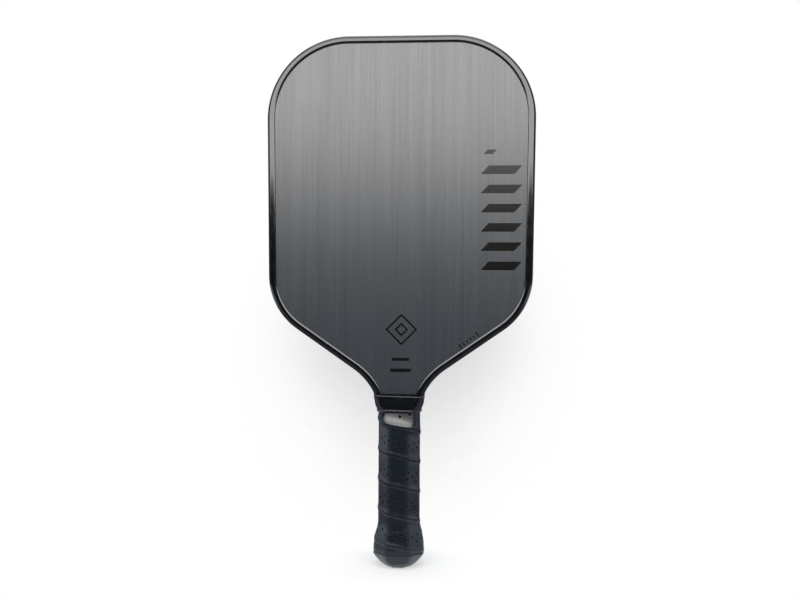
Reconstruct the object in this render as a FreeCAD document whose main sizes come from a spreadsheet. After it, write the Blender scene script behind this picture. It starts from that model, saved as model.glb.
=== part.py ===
import FreeCAD, Part
import math
import os
from FreeCAD import Vector
import Sketcher
import PartDesign  # loads the PartDesign object types

# Pickleball paddle, upright. Origin: centre of the butt end. +Z runs along the handle to the tip
# of the blade, +X is the paddle's right seen from the front, and the front face looks along -Y.

doc = FreeCAD.newDocument("paddle")
sheet = doc.addObject("Spreadsheet::Sheet", "Sizes")

SIZES = [
    # blade outline, outer edge of the guard
    ("overall_length", 400.0),
    ("blade_half_width", 101.6),
    ("tip_corner_radius", 62.1),
    ("cheek_radius", 50.2),
    ("cheek_centre_x", 49.5),
    ("cheek_centre_z", 219.2),
    ("neck_radius", 47.9),
    ("neck_half_width", 14.0),
    ("neck_centre_z", 108.5),
    # sandwich panel
    ("panel_thickness", 16.0),
    ("skin_thickness", 0.6),
    ("veil_thickness", 0.1),
    ("panel_inset", 1.8),
    ("cell_pitch", 8.0),
    ("cell_wall", 0.3),
    ("rim_wall", 0.5),
    ("tongue_half_width", 10.0),
    ("tongue_bottom", 7.0),
    ("tongue_shoulder", 117.6),
    # edge guard section
    ("guard_web", 1.6),
    ("guard_reach", 5.8),
    ("guard_crown", 9.2),
    ("guard_round", 2.6),
    ("guard_land", 1.2),
    ("guard_step", 0.75),
    ("guard_end", 121.0),
    ("trim_width", 120.0),
    ("edge_tape_half_height", 7.3),
    # handle pallets: an octagon
    ("pallet_half_width", 14.1),
    ("pallet_half_depth", 13.2),
    ("pallet_facet", 6.2),
    ("pallet_side", 5.3),
    ("pallet_bottom", 7.0),
    ("pallet_wide_end", 120.8),
    ("pallet_end", 128.4),
    ("pallet_nose_half_width", 9.0),
    ("pallet_nose_depth", 8.4),
    ("ramp_start", 106.0),
    ("ramp_knee_depth", 10.0),
    ("slot_gap", 0.02),
    # cutting shapes of the pallets: run past the surface, overlap into the slot, ramp cut
    ("cut_margin", 5.0),
    ("shoulder_overlap", 0.5),
    ("ramp_cut_margin", 3.0),
    ("ramp_cut_width", 80.0),
    # cushion grip and its adhesive
    ("adhesive", 0.15),
    ("adhesive_setback", 0.3),
    ("grip_gap", 0.02),
    ("wrap_half_width", 15.9),
    ("wrap_half_depth", 15.0),
    ("wrap_facet", 7.0),
    ("wrap_side", 6.1),
    ("wrap_top", 117.3),
    # butt cap
    ("cap_half_width", 19.1),
    ("cap_half_depth", 17.4),
    ("cap_facet", 8.3),
    ("cap_side", 7.1),
    ("cap_step", 10.2),
    ("cap_floor", 7.0),
    ("cap_top", 31.0),
    ("cap_hole_length", 60.0),
    ("groove_length", 6.0),
    ("plug_radius", 5.0),
    ("plug_depth", 1.4),
    ("plug_gap", 0.05),
    ("plug_chamfer", 0.3),
    # staples
    ("staple_z", 20.0),
    ("staple_span", 8.0),
    ("staple_wire", 1.2),
    ("staple_crown_depth", 14.7),
    ("staple_crown_thick", 0.5),
    ("staple_leg", 5.0),
    ("staple_leg_start", 0.2),
    ("staple_gap", 0.05),
    # finishing tape, three turns
    ("tape_bottom", 116.0),
    ("tape_top", 129.6),
    ("tape_layer", 0.45),
    ("tape_gap", 0.04),
    ("tape_knee_rise", 0.05),
]
for row, (alias, value) in enumerate(SIZES, start=1):
    sheet.set("A%d" % row, alias)
    sheet.set("B%d" % row, "%g" % value)
    sheet.setAlias("B%d" % row, alias)
doc.recompute()

# name of each side of the paddle and the sign of its y
FACINGS = (("front", -1), ("back", 1))

Constraint = Sketcher.Constraint


# ---- sizes and expressions
def size(alias):
    return float(getattr(sheet, alias))


def num(expr):
    """Value of an expression without brackets: sheet names and numbers joined by + - * /."""
    total = 0.0
    for term in expr.replace(" - ", " + -").split(" + "):
        product = -1.0 if term.startswith("-") else 1.0
        for factor in term.lstrip("-").replace(" / ", " * /").split(" * "):
            leaf = factor.lstrip("/")
            value = size(leaf[len("Sizes."):]) if leaf.startswith("Sizes.") else float(leaf)
            product = product / value if factor.startswith("/") else product * value
        total += product
    return total


def times(expr, share):
    """Expression for every term of a sum times `share`."""
    terms = expr.replace(" - ", " + -").split(" + ")
    return " + ".join("%s * %g" % (term, share) for term in terms)


# ---- sketches and features
def new_body(label):
    return doc.addObject("PartDesign::Body", label)


def plane(body, role):
    return [o for o in body.Origin.OriginFeatures if o.Role == role][0]


def new_sketch(body, name, role, offset=None):
    sketch = body.newObject("Sketcher::SketchObject", name)
    sketch.AttachmentSupport = [(plane(body, role), "")]
    sketch.MapMode = "FlatFace"
    if offset is not None:
        sketch.setExpression("AttachmentOffset.Base.z", offset)
    return sketch


def bind(sketch, kind, refs, expr, name):
    """Add a driving dimension between `refs`, bound to the sheet by `expr`."""
    index = sketch.addConstraint(Constraint(kind, *refs, num(expr)))
    sketch.renameConstraint(index, name)
    sketch.setExpression("Constraints." + name, expr)


def arc(centre, radius, start_angle, end_angle):
    circle = Part.Circle(centre, Vector(0, 0, 1), radius)
    return Part.ArcOfCircle(circle, start_angle, end_angle)


def line(x1, y1, x2, y2):
    return Part.LineSegment(Vector(x1, y1, 0), Vector(x2, y2, 0))


def polygon(sketch, points):
    """Closed polygon through (x, y) points; returns the indices of its lines."""
    ends = points[1:] + points[:1]
    lines = [sketch.addGeometry(line(*a, *b), False) for a, b in zip(points, ends)]
    for this, following in zip(lines, lines[1:] + lines[:1]):
        sketch.addConstraint(Constraint("Coincident", this, 2, following, 1))
    return lines


def centred_circle(body, name, radius, bound_name):
    """Sketch of a circle round the handle axis on the butt end."""
    sketch = new_sketch(body, name, "XY_Plane")
    circle = sketch.addGeometry(
        Part.Circle(Vector(0, 0, 0), Vector(0, 0, 1), num(radius)), False)
    sketch.addConstraint(Constraint("Coincident", circle, 3, -1, 1))
    bind(sketch, "Radius", (circle,), radius, bound_name)
    return sketch


def pad(body, name, sketch, length):
    feature = body.newObject("PartDesign::Pad", name)
    feature.Profile = sketch
    feature.setExpression("Length", length)
    body.Tip = feature
    doc.recompute()
    return feature


def pocket(body, name, sketch, length, reverse=False, symmetric=False):
    before = body.Tip.Shape.Volume
    cut = body.newObject("PartDesign::Pocket", name)
    cut.Profile = sketch
    if symmetric:
        cut.SideType = "Symmetric"
    cut.Reversed = reverse
    cut.setExpression("Length", length)
    body.Tip = cut
    doc.recompute()
    assert cut.Shape.Volume < before - 1e-3, name + " removes nothing"


def loft(body, name, sections, additive=True):
    kind = "PartDesign::AdditiveLoft" if additive else "PartDesign::SubtractiveLoft"
    feature = body.newObject(kind, name)
    feature.Profile = sections[0]
    feature.Sections = sections[1:]
    feature.Ruled = True
    body.Tip = feature
    doc.recompute()


def sweep(body, name, profile, path):
    doc.recompute()
    feature = body.newObject("PartDesign::AdditivePipe", name)
    feature.Profile = profile
    feature.Spine = (path, [])
    body.Tip = feature
    doc.recompute()
    return feature


# ---- blade outline: neck, shoulder line, cheek, side, tip corner and top, each tangent to the next
# arc: radius, sign an inset takes in it, centre x, centre z
OUTLINE_ARCS = {
    "neck": ("Sizes.neck_radius", "+",
             "Sizes.neck_half_width + Sizes.neck_radius", "Sizes.neck_centre_z"),
    "cheek": ("Sizes.cheek_radius", "-", "Sizes.cheek_centre_x", "Sizes.cheek_centre_z"),
    "tip": ("Sizes.tip_corner_radius", "-",
            "Sizes.blade_half_width - Sizes.tip_corner_radius",
            "Sizes.overall_length - Sizes.tip_corner_radius"),
}


def outline_curves(inset, start_z):
    """Curves of the right-hand outline, `inset` inside the guard's outer edge, from the neck
    arc's end at height `start_z` up to the top centre."""
    neck, cheek, tip = [Vector(num(x), num(z), 0) for _, _, x, z in OUTLINE_ARCS.values()]
    neck_radius, cheek_radius, tip_radius = [num(a[0]) for a in OUTLINE_ARCS.values()]
    to_tip = tip - cheek
    to_neck = neck - cheek
    side_angle = (math.atan2(to_tip.y, to_tip.x)
                  - math.acos((cheek_radius - tip_radius) / to_tip.Length))
    shoulder_angle = (math.atan2(to_neck.y, to_neck.x)
                      + math.acos((cheek_radius + neck_radius) / to_neck.Length))
    side_normal = Vector(math.cos(side_angle), math.sin(side_angle), 0)
    shoulder_normal = Vector(math.cos(shoulder_angle), math.sin(shoulder_angle), 0)
    neck_radius += inset
    cheek_radius -= inset
    tip_radius -= inset
    start_angle = math.pi - math.asin((start_z - neck.y) / neck_radius)
    return [
        arc(neck, neck_radius, shoulder_angle + math.pi, start_angle),
        Part.LineSegment(neck - shoulder_normal * neck_radius,
                         cheek + shoulder_normal * cheek_radius),
        arc(cheek, cheek_radius, shoulder_angle, side_angle),
        Part.LineSegment(cheek + side_normal * cheek_radius, tip + side_normal * tip_radius),
        arc(tip, tip_radius, side_angle, math.pi / 2),
        line(tip.x, tip.y + tip_radius, 0, tip.y + tip_radius),
    ]


def sketch_outline(sketch, inset, start_z):
    """Add the constrained outline for the expression `inset`. Returns the indices of the neck
    arc and of the top line."""
    curves = outline_curves(num(inset), start_z)
    neck, shoulder, cheek, side, tip, top = [sketch.addGeometry(c, False) for c in curves]
    sketch.addConstraint([
        Constraint("Tangent", neck, 1, shoulder, 1),
        Constraint("Tangent", shoulder, 2, cheek, 1),
        Constraint("Tangent", cheek, 2, side, 1),
        Constraint("Tangent", side, 2, tip, 1),
        Constraint("Tangent", tip, 2, top, 1),
        Constraint("PointOnObject", top, 2, -2),
    ])
    arcs = [(name, index) + OUTLINE_ARCS[name]
            for name, index in (("neck", neck), ("cheek", cheek), ("tip", tip))]
    for name, index, radius, sign, _, _ in arcs:
        bind(sketch, "Radius", (index,), "%s %s %s" % (radius, sign, inset), name + "_r")
    for name, index, _, _, centre_x, centre_z in arcs:
        bind(sketch, "DistanceX", (-1, 1, index, 3), centre_x, name + "_x")
        bind(sketch, "DistanceY", (-1, 1, index, 3), centre_z, name + "_z")
    return neck, top


# ---- face skins and core veils: full-outline layers of the sandwich panel
HALF_PANEL = "Sizes.panel_thickness / 2"
SKIN_INNER = HALF_PANEL + " - Sizes.skin_thickness"
VEIL_INNER = SKIN_INNER + " - Sizes.veil_thickness"


def panel_layer(label, near, far, facing):
    """Layer from |y| = near to |y| = far (expressions), on the side `facing`."""
    body = new_body(label)
    sketch = new_sketch(body, label + "_outline", "XZ_Plane",
                        near if facing < 0 else "-(%s)" % far)
    shoulder_z, bottom_z = size("tongue_shoulder"), size("tongue_bottom")
    tongue_x = size("tongue_half_width")
    neck, top = sketch_outline(sketch, "Sizes.panel_inset", shoulder_z)
    neck_end = outline_curves(size("panel_inset"), shoulder_z)[0].EndPoint
    top_z = size("overall_length") - size("panel_inset")
    shoulder, tongue, bottom, axis = [sketch.addGeometry(segment, False) for segment in (
        line(tongue_x, shoulder_z, neck_end.x, neck_end.y),
        line(tongue_x, bottom_z, tongue_x, shoulder_z),
        line(0, bottom_z, tongue_x, bottom_z),
        line(0, top_z, 0, bottom_z),
    )]
    sketch.addConstraint([
        Constraint("Coincident", shoulder, 2, neck, 2),
        Constraint("Coincident", shoulder, 1, tongue, 2),
        Constraint("Coincident", tongue, 1, bottom, 2),
        Constraint("Coincident", bottom, 1, axis, 2),
        Constraint("Coincident", axis, 1, top, 2),
        Constraint("Horizontal", shoulder),
        Constraint("Vertical", tongue),
        Constraint("Horizontal", bottom),
        Constraint("Vertical", axis),
    ])
    bind(sketch, "DistanceX", (-1, 1, tongue, 1), "Sizes.tongue_half_width", "tongue_x")
    bind(sketch, "DistanceY", (-1, 1, tongue, 1), "Sizes.tongue_bottom", "tongue_z")
    bind(sketch, "DistanceY", (-1, 1, tongue, 2), "Sizes.tongue_shoulder", "shoulder_z")
    half = pad(body, label + "_pad", sketch, "(%s) - (%s)" % (far, near))
    mirror = body.newObject("PartDesign::Mirrored", label + "_mirror")
    mirror.Originals = [half]
    mirror.MirrorPlane = (plane(body, "YZ_Plane"), [""])
    mirror.Refine = True
    body.Tip = mirror
    doc.recompute()


for tag, facing in FACINGS:
    panel_layer("face_skin_" + tag, SKIN_INNER, HALF_PANEL, facing)
    panel_layer("core_veil_" + tag, VEIL_INNER, SKIN_INNER, facing)


# ---- honeycomb core: hexagonal cells through the whole thickness, clipped by a thin rim
BORDER_STEP = 2.0  # spacing of the points that stand for the rim when cells are sorted
BORDER_MARGIN = 1.5  # clearance beyond a cell's corners that counts as clear of the rim
SMALLEST_CELL = 8.0  # area below which a clipped cell is left solid


def panel_wire(inset):
    """Closed outline (x, z) of the panel, both halves, moved in by `inset`."""
    shoulder_z = size("tongue_shoulder") + inset
    bottom_z = size("tongue_bottom") + inset
    tongue_x = size("tongue_half_width") - inset
    curves = outline_curves(size("panel_inset") + inset, shoulder_z)
    neck_end = curves[0].EndPoint
    curves = [
        line(0, bottom_z, tongue_x, bottom_z),
        line(tongue_x, bottom_z, tongue_x, shoulder_z),
        line(tongue_x, shoulder_z, neck_end.x, neck_end.y),
    ] + curves
    right = [curve.toShape() for curve in curves]
    left = [edge.mirror(Vector(0, 0, 0), Vector(1, 0, 0)) for edge in right]
    return Part.Wire(Part.__sortEdges__(right + left))


def clear_of_border(x, z, border, margin):
    """True inside or False outside the border, None within `margin` of it."""
    nearest = min((x - bx) ** 2 + (z - bz) ** 2 for bx, bz in border)
    if nearest < margin ** 2:
        return None
    inside = False
    for (ax, az), (bx, bz) in zip(border, border[1:]):
        if (az > z) != (bz > z) and x < ax + (z - az) * (bx - ax) / (bz - az):
            inside = not inside
    return inside


def cell_holes(limit):
    """Wires of the hexagonal cells, clipped to the face `limit`."""
    pitch = size("cell_pitch")
    corner_radius = (pitch - size("cell_wall")) / math.sqrt(3)
    row_step = pitch * math.sqrt(3) / 2
    box = limit.BoundBox
    border = [(p.x, p.y) for p in limit.OuterWire.discretize(Distance=BORDER_STEP)]
    border.append(border[0])
    columns = int(box.XMax / pitch) + 2
    holes = []
    for j in range(int(box.YLength / row_step) + 2):
        z = box.YMin + j * row_step
        for i in range(-columns, columns + 1):
            x = i * pitch + (pitch / 2 if j % 2 else 0.0)
            whole = clear_of_border(x, z, border, corner_radius + BORDER_MARGIN)
            if whole is False:
                continue
            angles = [math.radians(60 * k) for k in range(6)]
            corners = [Vector(x + corner_radius * math.sin(a), z + corner_radius * math.cos(a), 0)
                       for a in angles]
            hexagon = Part.makePolygon(corners + [corners[0]])
            inside = [True] if whole else [limit.isInside(p, 1e-6, True) for p in corners]
            if all(inside):
                holes.append(hexagon)
            elif any(inside):
                clipped = Part.Face(hexagon).common(limit)
                holes += [f.OuterWire for f in clipped.Faces if f.Area > SMALLEST_CELL]
    return holes


def honeycomb_core():
    limit = Part.Face(panel_wire(size("rim_wall")))
    face = Part.Face([panel_wire(0.0)] + cell_holes(limit))
    face.validate()
    half = num(VEIL_INNER)
    # stand the flat outline up: its own y becomes z
    face = face.rotated(Vector(0, 0, 0), Vector(1, 0, 0), 90)
    face.translate(Vector(0, half, 0))
    core = doc.addObject("Part::Feature", "honeycomb_core")
    core.Shape = face.extrude(Vector(0, -2 * half, 0))


honeycomb_core()


# ---- edge guard and its tape: swept up the right edge, cut off at the neck, then mirrored
def edge_path(body, name, inset):
    """Spine along the outline; the neck arc runs down until it is vertical."""
    path = new_sketch(body, name, "XZ_Plane")
    neck, _ = sketch_outline(path, inset, size("neck_centre_z"))
    bind(path, "DistanceY", (-1, 1, neck, 2), "Sizes.neck_centre_z", "start_z")
    return path


def trim_ends(body, name):
    """Cut away everything below the guard's end."""
    sketch = new_sketch(body, name, "XY_Plane")
    w = size("trim_width") / 2
    bottom, right, top, left = polygon(sketch, [(-w, -w), (w, -w), (w, w), (-w, w)])
    sketch.addConstraint([
        Constraint("Horizontal", bottom),
        Constraint("Vertical", right),
        Constraint("Horizontal", top),
        Constraint("Vertical", left),
        Constraint("Symmetric", bottom, 1, top, 1, -1, 1),
    ])
    bind(sketch, "DistanceX", (bottom, 1, bottom, 2), "Sizes.trim_width", "width_x")
    bind(sketch, "DistanceY", (right, 1, right, 2), "Sizes.trim_width", "width_y")
    pocket(body, name + "_cut", sketch, "Sizes.guard_end", reverse=True)


def add_left_side(body):
    mirror = body.newObject("PartDesign::Mirrored", body.Label + "_both_sides")
    # guards against a release whose list of modes lacks this one
    if "Whole shape" in mirror.getEnumerationsOfProperty("TransformMode"):
        mirror.TransformMode = "Whole shape"
    mirror.MirrorPlane = (plane(body, "YZ_Plane"), [""])
    mirror.Refine = True
    body.Tip = mirror
    doc.recompute()


def guard_section(body):
    """Front half of the U-channel's section, where the neck is narrowest."""
    sketch = new_sketch(body, "guard_section", "XY_Plane", "Sizes.neck_centre_z")
    outer_x = size("neck_half_width")
    web_x = outer_x - size("guard_web")
    reach_x = outer_x - size("guard_reach")
    radius = size("guard_round")
    round_x = outer_x - radius
    land_x = round_x - size("guard_land")
    crown = size("guard_crown")
    seat = num(HALF_PANEL)
    step = seat + size("guard_step")
    # the lip falls away from the crown on a long arc, then drops to the skin in a small step
    run, drop = land_x - reach_x, crown - step
    lip_radius = (run * run + drop * drop) / (2 * drop)
    lip_y = lip_radius - crown
    lip_angle = math.atan2(-step - lip_y, reach_x - land_x)
    wall, corner, land, lip, riser, skin, web, middle = [
        sketch.addGeometry(curve, False) for curve in (
            line(outer_x, 0, outer_x, radius - crown),
            arc(Vector(round_x, radius - crown, 0), radius, -math.pi / 2, 0),
            line(round_x, -crown, land_x, -crown),
            arc(Vector(land_x, lip_y, 0), lip_radius, lip_angle, -math.pi / 2),
            line(reach_x, -step, reach_x, -seat),
            line(reach_x, -seat, web_x, -seat),
            line(web_x, -seat, web_x, 0),
            line(web_x, 0, outer_x, 0),
        )]
    sketch.addConstraint([
        Constraint("Tangent", wall, 2, corner, 2),
        Constraint("Tangent", corner, 1, land, 1),
        Constraint("Tangent", land, 2, lip, 2),
        Constraint("Coincident", lip, 1, riser, 1),
        Constraint("Coincident", riser, 2, skin, 1),
        Constraint("Coincident", skin, 2, web, 1),
        Constraint("Coincident", web, 2, middle, 1),
        Constraint("Coincident", middle, 2, wall, 1),
        Constraint("Vertical", wall),
        Constraint("Horizontal", land),
        Constraint("Vertical", riser),
        Constraint("Horizontal", skin),
        Constraint("Vertical", web),
        Constraint("PointOnObject", web, 2, -1),
        Constraint("PointOnObject", wall, 1, -1),
    ])
    bind(sketch, "DistanceX", (-1, 1, wall, 1), "Sizes.neck_half_width", "outer_x")
    bind(sketch, "Radius", (corner,), "Sizes.guard_round", "round_r")
    bind(sketch, "DistanceY", (land, 1, -1, 1), "Sizes.guard_crown", "crown_y")
    bind(sketch, "DistanceX", (land, 2, land, 1), "Sizes.guard_land", "land_x")
    bind(sketch, "DistanceX", (skin, 1, wall, 1), "Sizes.guard_reach", "reach_x")
    bind(sketch, "DistanceY", (riser, 1, riser, 2), "Sizes.guard_step", "step_y")
    bind(sketch, "DistanceY", (skin, 1, -1, 1), HALF_PANEL, "seat_y")
    bind(sketch, "DistanceX", (web, 2, middle, 2), "Sizes.guard_web", "web_x")
    return sketch


def edge_guard():
    body = new_body("edge_guard")
    path = edge_path(body, "guard_path", "0")
    run = sweep(body, "guard_run", guard_section(body), path)
    back_lip = body.newObject("PartDesign::Mirrored", "guard_other_lip")
    back_lip.Originals = [run]
    back_lip.MirrorPlane = (plane(body, "XZ_Plane"), [""])
    body.Tip = back_lip
    doc.recompute()
    trim_ends(body, "guard_trim")
    add_left_side(body)


def edge_guard_tape():
    """Double-sided strip between the panel's edge and the guard's web."""
    body = new_body("edge_guard_tape")
    path = edge_path(body, "strip_path", "Sizes.guard_web")
    sketch = new_sketch(body, "strip_section", "XY_Plane", "Sizes.neck_centre_z")
    outer = "Sizes.neck_half_width - Sizes.guard_web"
    inner = "Sizes.neck_half_width - Sizes.panel_inset"
    outer_x, inner_x, half_y = num(outer), num(inner), size("edge_tape_half_height")
    front, right, back, left = polygon(sketch, [
        (inner_x, -half_y), (outer_x, -half_y), (outer_x, half_y), (inner_x, half_y)])
    sketch.addConstraint([
        Constraint("Horizontal", front),
        Constraint("Horizontal", back),
        Constraint("Vertical", left),
        Constraint("Symmetric", right, 1, right, 2, -1),
    ])
    bind(sketch, "DistanceX", (-1, 1, right, 1), outer, "outer_x")
    bind(sketch, "DistanceX", (-1, 1, front, 1), inner, "inner_x")
    bind(sketch, "DistanceY", (-1, 1, right, 2), "Sizes.edge_tape_half_height", "half_y")
    sweep(body, "strip_run", sketch, path)
    trim_ends(body, "strip_trim")
    add_left_side(body)


edge_guard()
edge_guard_tape()


# ---- octagon sections, shared by the cap, the grip and the finishing tape
# A section is five expressions: level, half width, half depth, half length of the front and back
# flats, half length of the side flats.
LAYER_MITRE = 0.41  # growth of a flat's half length per unit of layer thickness
FLARE_MITRE = 0.4  # the same for the flare of the cap's skirt


def octagon(body, name, section):
    level, half_x, half_y, facet, side = section
    sketch = new_sketch(body, name, "XY_Plane", level)
    x, y, a, b = num(half_x), num(half_y), num(facet), num(side)
    lines = polygon(sketch, [(a, -y), (x, -b), (x, b), (a, y), (-a, y), (-x, b), (-x, -b), (-a, -y)])
    right, back, left, front = lines[1::2]
    sketch.addConstraint([
        Constraint("Symmetric", front, 1, front, 2, -2),
        Constraint("Symmetric", back, 1, back, 2, -2),
        Constraint("Symmetric", front, 2, back, 1, -1),
        Constraint("Symmetric", right, 1, right, 2, -1),
        Constraint("Symmetric", right, 2, left, 1, -2),
        Constraint("Symmetric", right, 1, left, 2, -2),
    ])
    bind(sketch, "DistanceX", (-1, 1, back, 1), facet, "facet_x")
    bind(sketch, "DistanceY", (-1, 1, back, 1), half_y, "half_y")
    bind(sketch, "DistanceX", (-1, 1, right, 2), half_x, "half_x")
    bind(sketch, "DistanceY", (-1, 1, right, 2), side, "side_y")
    return sketch


def grown(section, layer):
    """The section with a layer, an expression for its thickness, on top."""
    level, half_x, half_y, facet, side = section
    corner = times(layer, LAYER_MITRE)
    return (level, "%s + %s" % (half_x, layer), "%s + %s" % (half_y, layer),
            "%s + %s" % (facet, corner), "%s + %s" % (side, corner))


def flared(level, flare_x, flare_y):
    """The pallets' octagon, grown by flare_x in half width and flare_y in half depth."""
    return (str(level),
            "Sizes.pallet_half_width + %g" % flare_x,
            "Sizes.pallet_half_depth + %g" % flare_y,
            "Sizes.pallet_facet + %g" % (flare_x * FLARE_MITRE),
            "Sizes.pallet_side + %g" % (flare_y * FLARE_MITRE))


def on_ramp(part, level, drop, gap="0"):
    """Octagon of `part` (pallet or wrap) where its front and back flats have come in by `drop`,
    which lengthens them and leaves the side flats alone."""
    return (level,
            "Sizes.%s_half_width + %s" % (part, gap),
            "Sizes.%s_half_depth + %s - %g" % (part, gap, drop),
            "Sizes.%s_facet + %g" % (part, drop),
            "Sizes.%s_side" % part)


# ---- handle pallets: two C-shaped halves closed round the panel's tongue
def staple_holes(body, name):
    """Sketch of the two round holes for a staple's legs."""
    sketch = new_sketch(body, name, "XZ_Plane")
    radius = "Sizes.staple_wire / 2 + Sizes.staple_gap"
    for k, side in enumerate((-1, 1)):
        centre = Vector(side * size("staple_span") / 2, size("staple_z"), 0)
        hole = sketch.addGeometry(Part.Circle(centre, Vector(0, 0, 1), num(radius)), False)
        across = (-1, 1, hole, 3) if side > 0 else (hole, 3, -1, 1)
        bind(sketch, "DistanceY", (-1, 1, hole, 3), "Sizes.staple_z", "hole_z%d" % k)
        bind(sketch, "DistanceX", across, "Sizes.staple_span / 2", "hole_x%d" % k)
        bind(sketch, "Radius", (hole,), radius, "hole_r%d" % k)
    return sketch


def pallet_section(body, name, facing):
    sketch = new_sketch(body, name, "XY_Plane", "Sizes.pallet_bottom")
    slot_width = "Sizes.tongue_half_width + Sizes.slot_gap"
    x, slot_x, flat_x = size("pallet_half_width"), num(slot_width), size("pallet_facet")
    y = facing * size("pallet_half_depth")
    side_y = facing * size("pallet_side")
    slot_y = facing * num(HALF_PANEL)
    (side_left, slant_left, flat, slant_right, side_right,
     rim_right, wall_right, floor, wall_left, rim_left) = polygon(sketch, [
         (-x, 0), (-x, side_y), (-flat_x, y), (flat_x, y), (x, side_y), (x, 0),
         (slot_x, 0), (slot_x, slot_y), (-slot_x, slot_y), (-slot_x, 0)])
    sketch.addConstraint([
        Constraint("PointOnObject", side_left, 1, -1),
        Constraint("PointOnObject", rim_left, 1, -1),
        Constraint("Horizontal", rim_right),
        Constraint("Vertical", side_left),
        Constraint("Vertical", side_right),
        Constraint("Vertical", wall_right),
        Constraint("Vertical", wall_left),
        Constraint("PointOnObject", rim_right, 1, -1),
        Constraint("Symmetric", flat, 1, flat, 2, -2),
        Constraint("Symmetric", floor, 1, floor, 2, -2),
        Constraint("Symmetric", slant_left, 1, slant_right, 2, -2),
    ])
    for edge, width, width_name, depth, depth_name in (
            (slant_right, "Sizes.pallet_half_width", "half_x", "Sizes.pallet_side", "side_y"),
            (flat, "Sizes.pallet_facet", "facet_x", "Sizes.pallet_half_depth", "half_y"),
            (wall_right, slot_width, "slot_x", HALF_PANEL, "slot_y")):
        outward = (-1, 1, edge, 2) if facing > 0 else (edge, 2, -1, 1)
        bind(sketch, "DistanceX", (-1, 1, edge, 2), width, width_name)
        bind(sketch, "DistanceY", outward, depth, depth_name)
    return sketch


def fixed_sketch(body, name, role, outlines):
    """Sketch of closed polygons held where they are drawn."""
    sketch = new_sketch(body, name + "_sketch", role)
    for points in outlines:
        for index in polygon(sketch, points):
            sketch.addConstraint(Constraint("Block", index))
    return sketch


def side_rectangles(x1, x2, z1, z2):
    """A rectangle from x1 out to x2 on the right and its twin on the left."""
    return [[(xa, z1), (xb, z1), (xb, z2), (xa, z2)] for xa, xb in ((x1, x2), (-x2, -x1))]


def handle_pallet(label, facing):
    body = new_body(label)
    front = facing < 0
    through = "Sizes.pallet_half_depth + Sizes.cut_margin"
    pad(body, label + "_pad", pallet_section(body, label + "_section", facing),
        "Sizes.pallet_end - Sizes.pallet_bottom")

    # above the tongue's shoulder the side walls stop, so the wider panel can pass between the halves
    margin = size("cut_margin")
    cut_x, cut_top = size("pallet_half_width") + margin, size("pallet_end") + margin
    inner_x = num("Sizes.tongue_half_width + Sizes.slot_gap - Sizes.shoulder_overlap")
    shoulder_z = size("tongue_shoulder") - size("slot_gap")
    name = label + "_shoulder"
    outlines = side_rectangles(inner_x, cut_x, shoulder_z, cut_top)
    pocket(body, name, fixed_sketch(body, name, "XZ_Plane", outlines), HALF_PANEL, reverse=front)

    # the nose that runs on up the face is narrower, to pass between the lips of the edge guard
    name = label + "_nose"
    outlines = side_rectangles(size("pallet_nose_half_width"), cut_x,
                               size("pallet_wide_end"), cut_top)
    pocket(body, name, fixed_sketch(body, name, "XZ_Plane", outlines), through, reverse=front)

    # the end ramps down to the face: steeply under the top of the grip, then gently under the tape
    name = label + "_ramp"
    depth, start_z = size("pallet_half_depth"), size("ramp_start")
    knee_depth, knee_z = size("ramp_knee_depth"), size("wrap_top")
    nose_depth = size("pallet_nose_depth")
    slope = (knee_depth - nose_depth) / (size("pallet_end") - knee_z)
    outer_y = facing * (depth + size("ramp_cut_margin"))
    ramp = [(facing * depth, start_z), (outer_y, start_z), (outer_y, cut_top),
            (facing * (nose_depth - slope * margin), cut_top), (facing * knee_depth, knee_z)]
    pocket(body, name, fixed_sketch(body, name, "YZ_Plane", [ramp]),
           "Sizes.ramp_cut_width", symmetric=True)

    pocket(body, label + "_holes", staple_holes(body, label + "_staple_holes"), through,
           reverse=front)


for tag, facing in FACINGS:
    handle_pallet("handle_pallet_" + tag, facing)


# ---- butt cap: a cup with a full rounded edge, flared skirt and a round recess for its plug
# rounded end: level, share of the full half width, share of the full half depth
FOOT = [
    (0.0, 0.47, 0.41), (0.5, 0.515, 0.465), (1.5, 0.585, 0.545),
    (2.9, 0.68, 0.645), (4.5, 0.775, 0.75), (6.1, 0.855, 0.84),
    (7.7, 0.925, 0.92), (9.0, 0.965, 0.965), ("Sizes.cap_step", 1.0, 1.0),
]
# skirt: level, growth over the pallets in half width, growth in half depth
SKIRT = [
    ("Sizes.cap_step", 3.2, 2.4), (13.4, 3.45, 2.6), (17.9, 3.15, 2.4), (21.0, 2.5, 1.95),
    (25.4, 1.75, 1.35), (28.4, 0.8, 0.7), ("Sizes.cap_top", 0.3, 0.3),
]


def foot_section(level, share_x, share_y):
    return (str(level),
            times("Sizes.cap_half_width", share_x), times("Sizes.cap_half_depth", share_y),
            times("Sizes.cap_facet", share_x), times("Sizes.cap_side", share_y))


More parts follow.
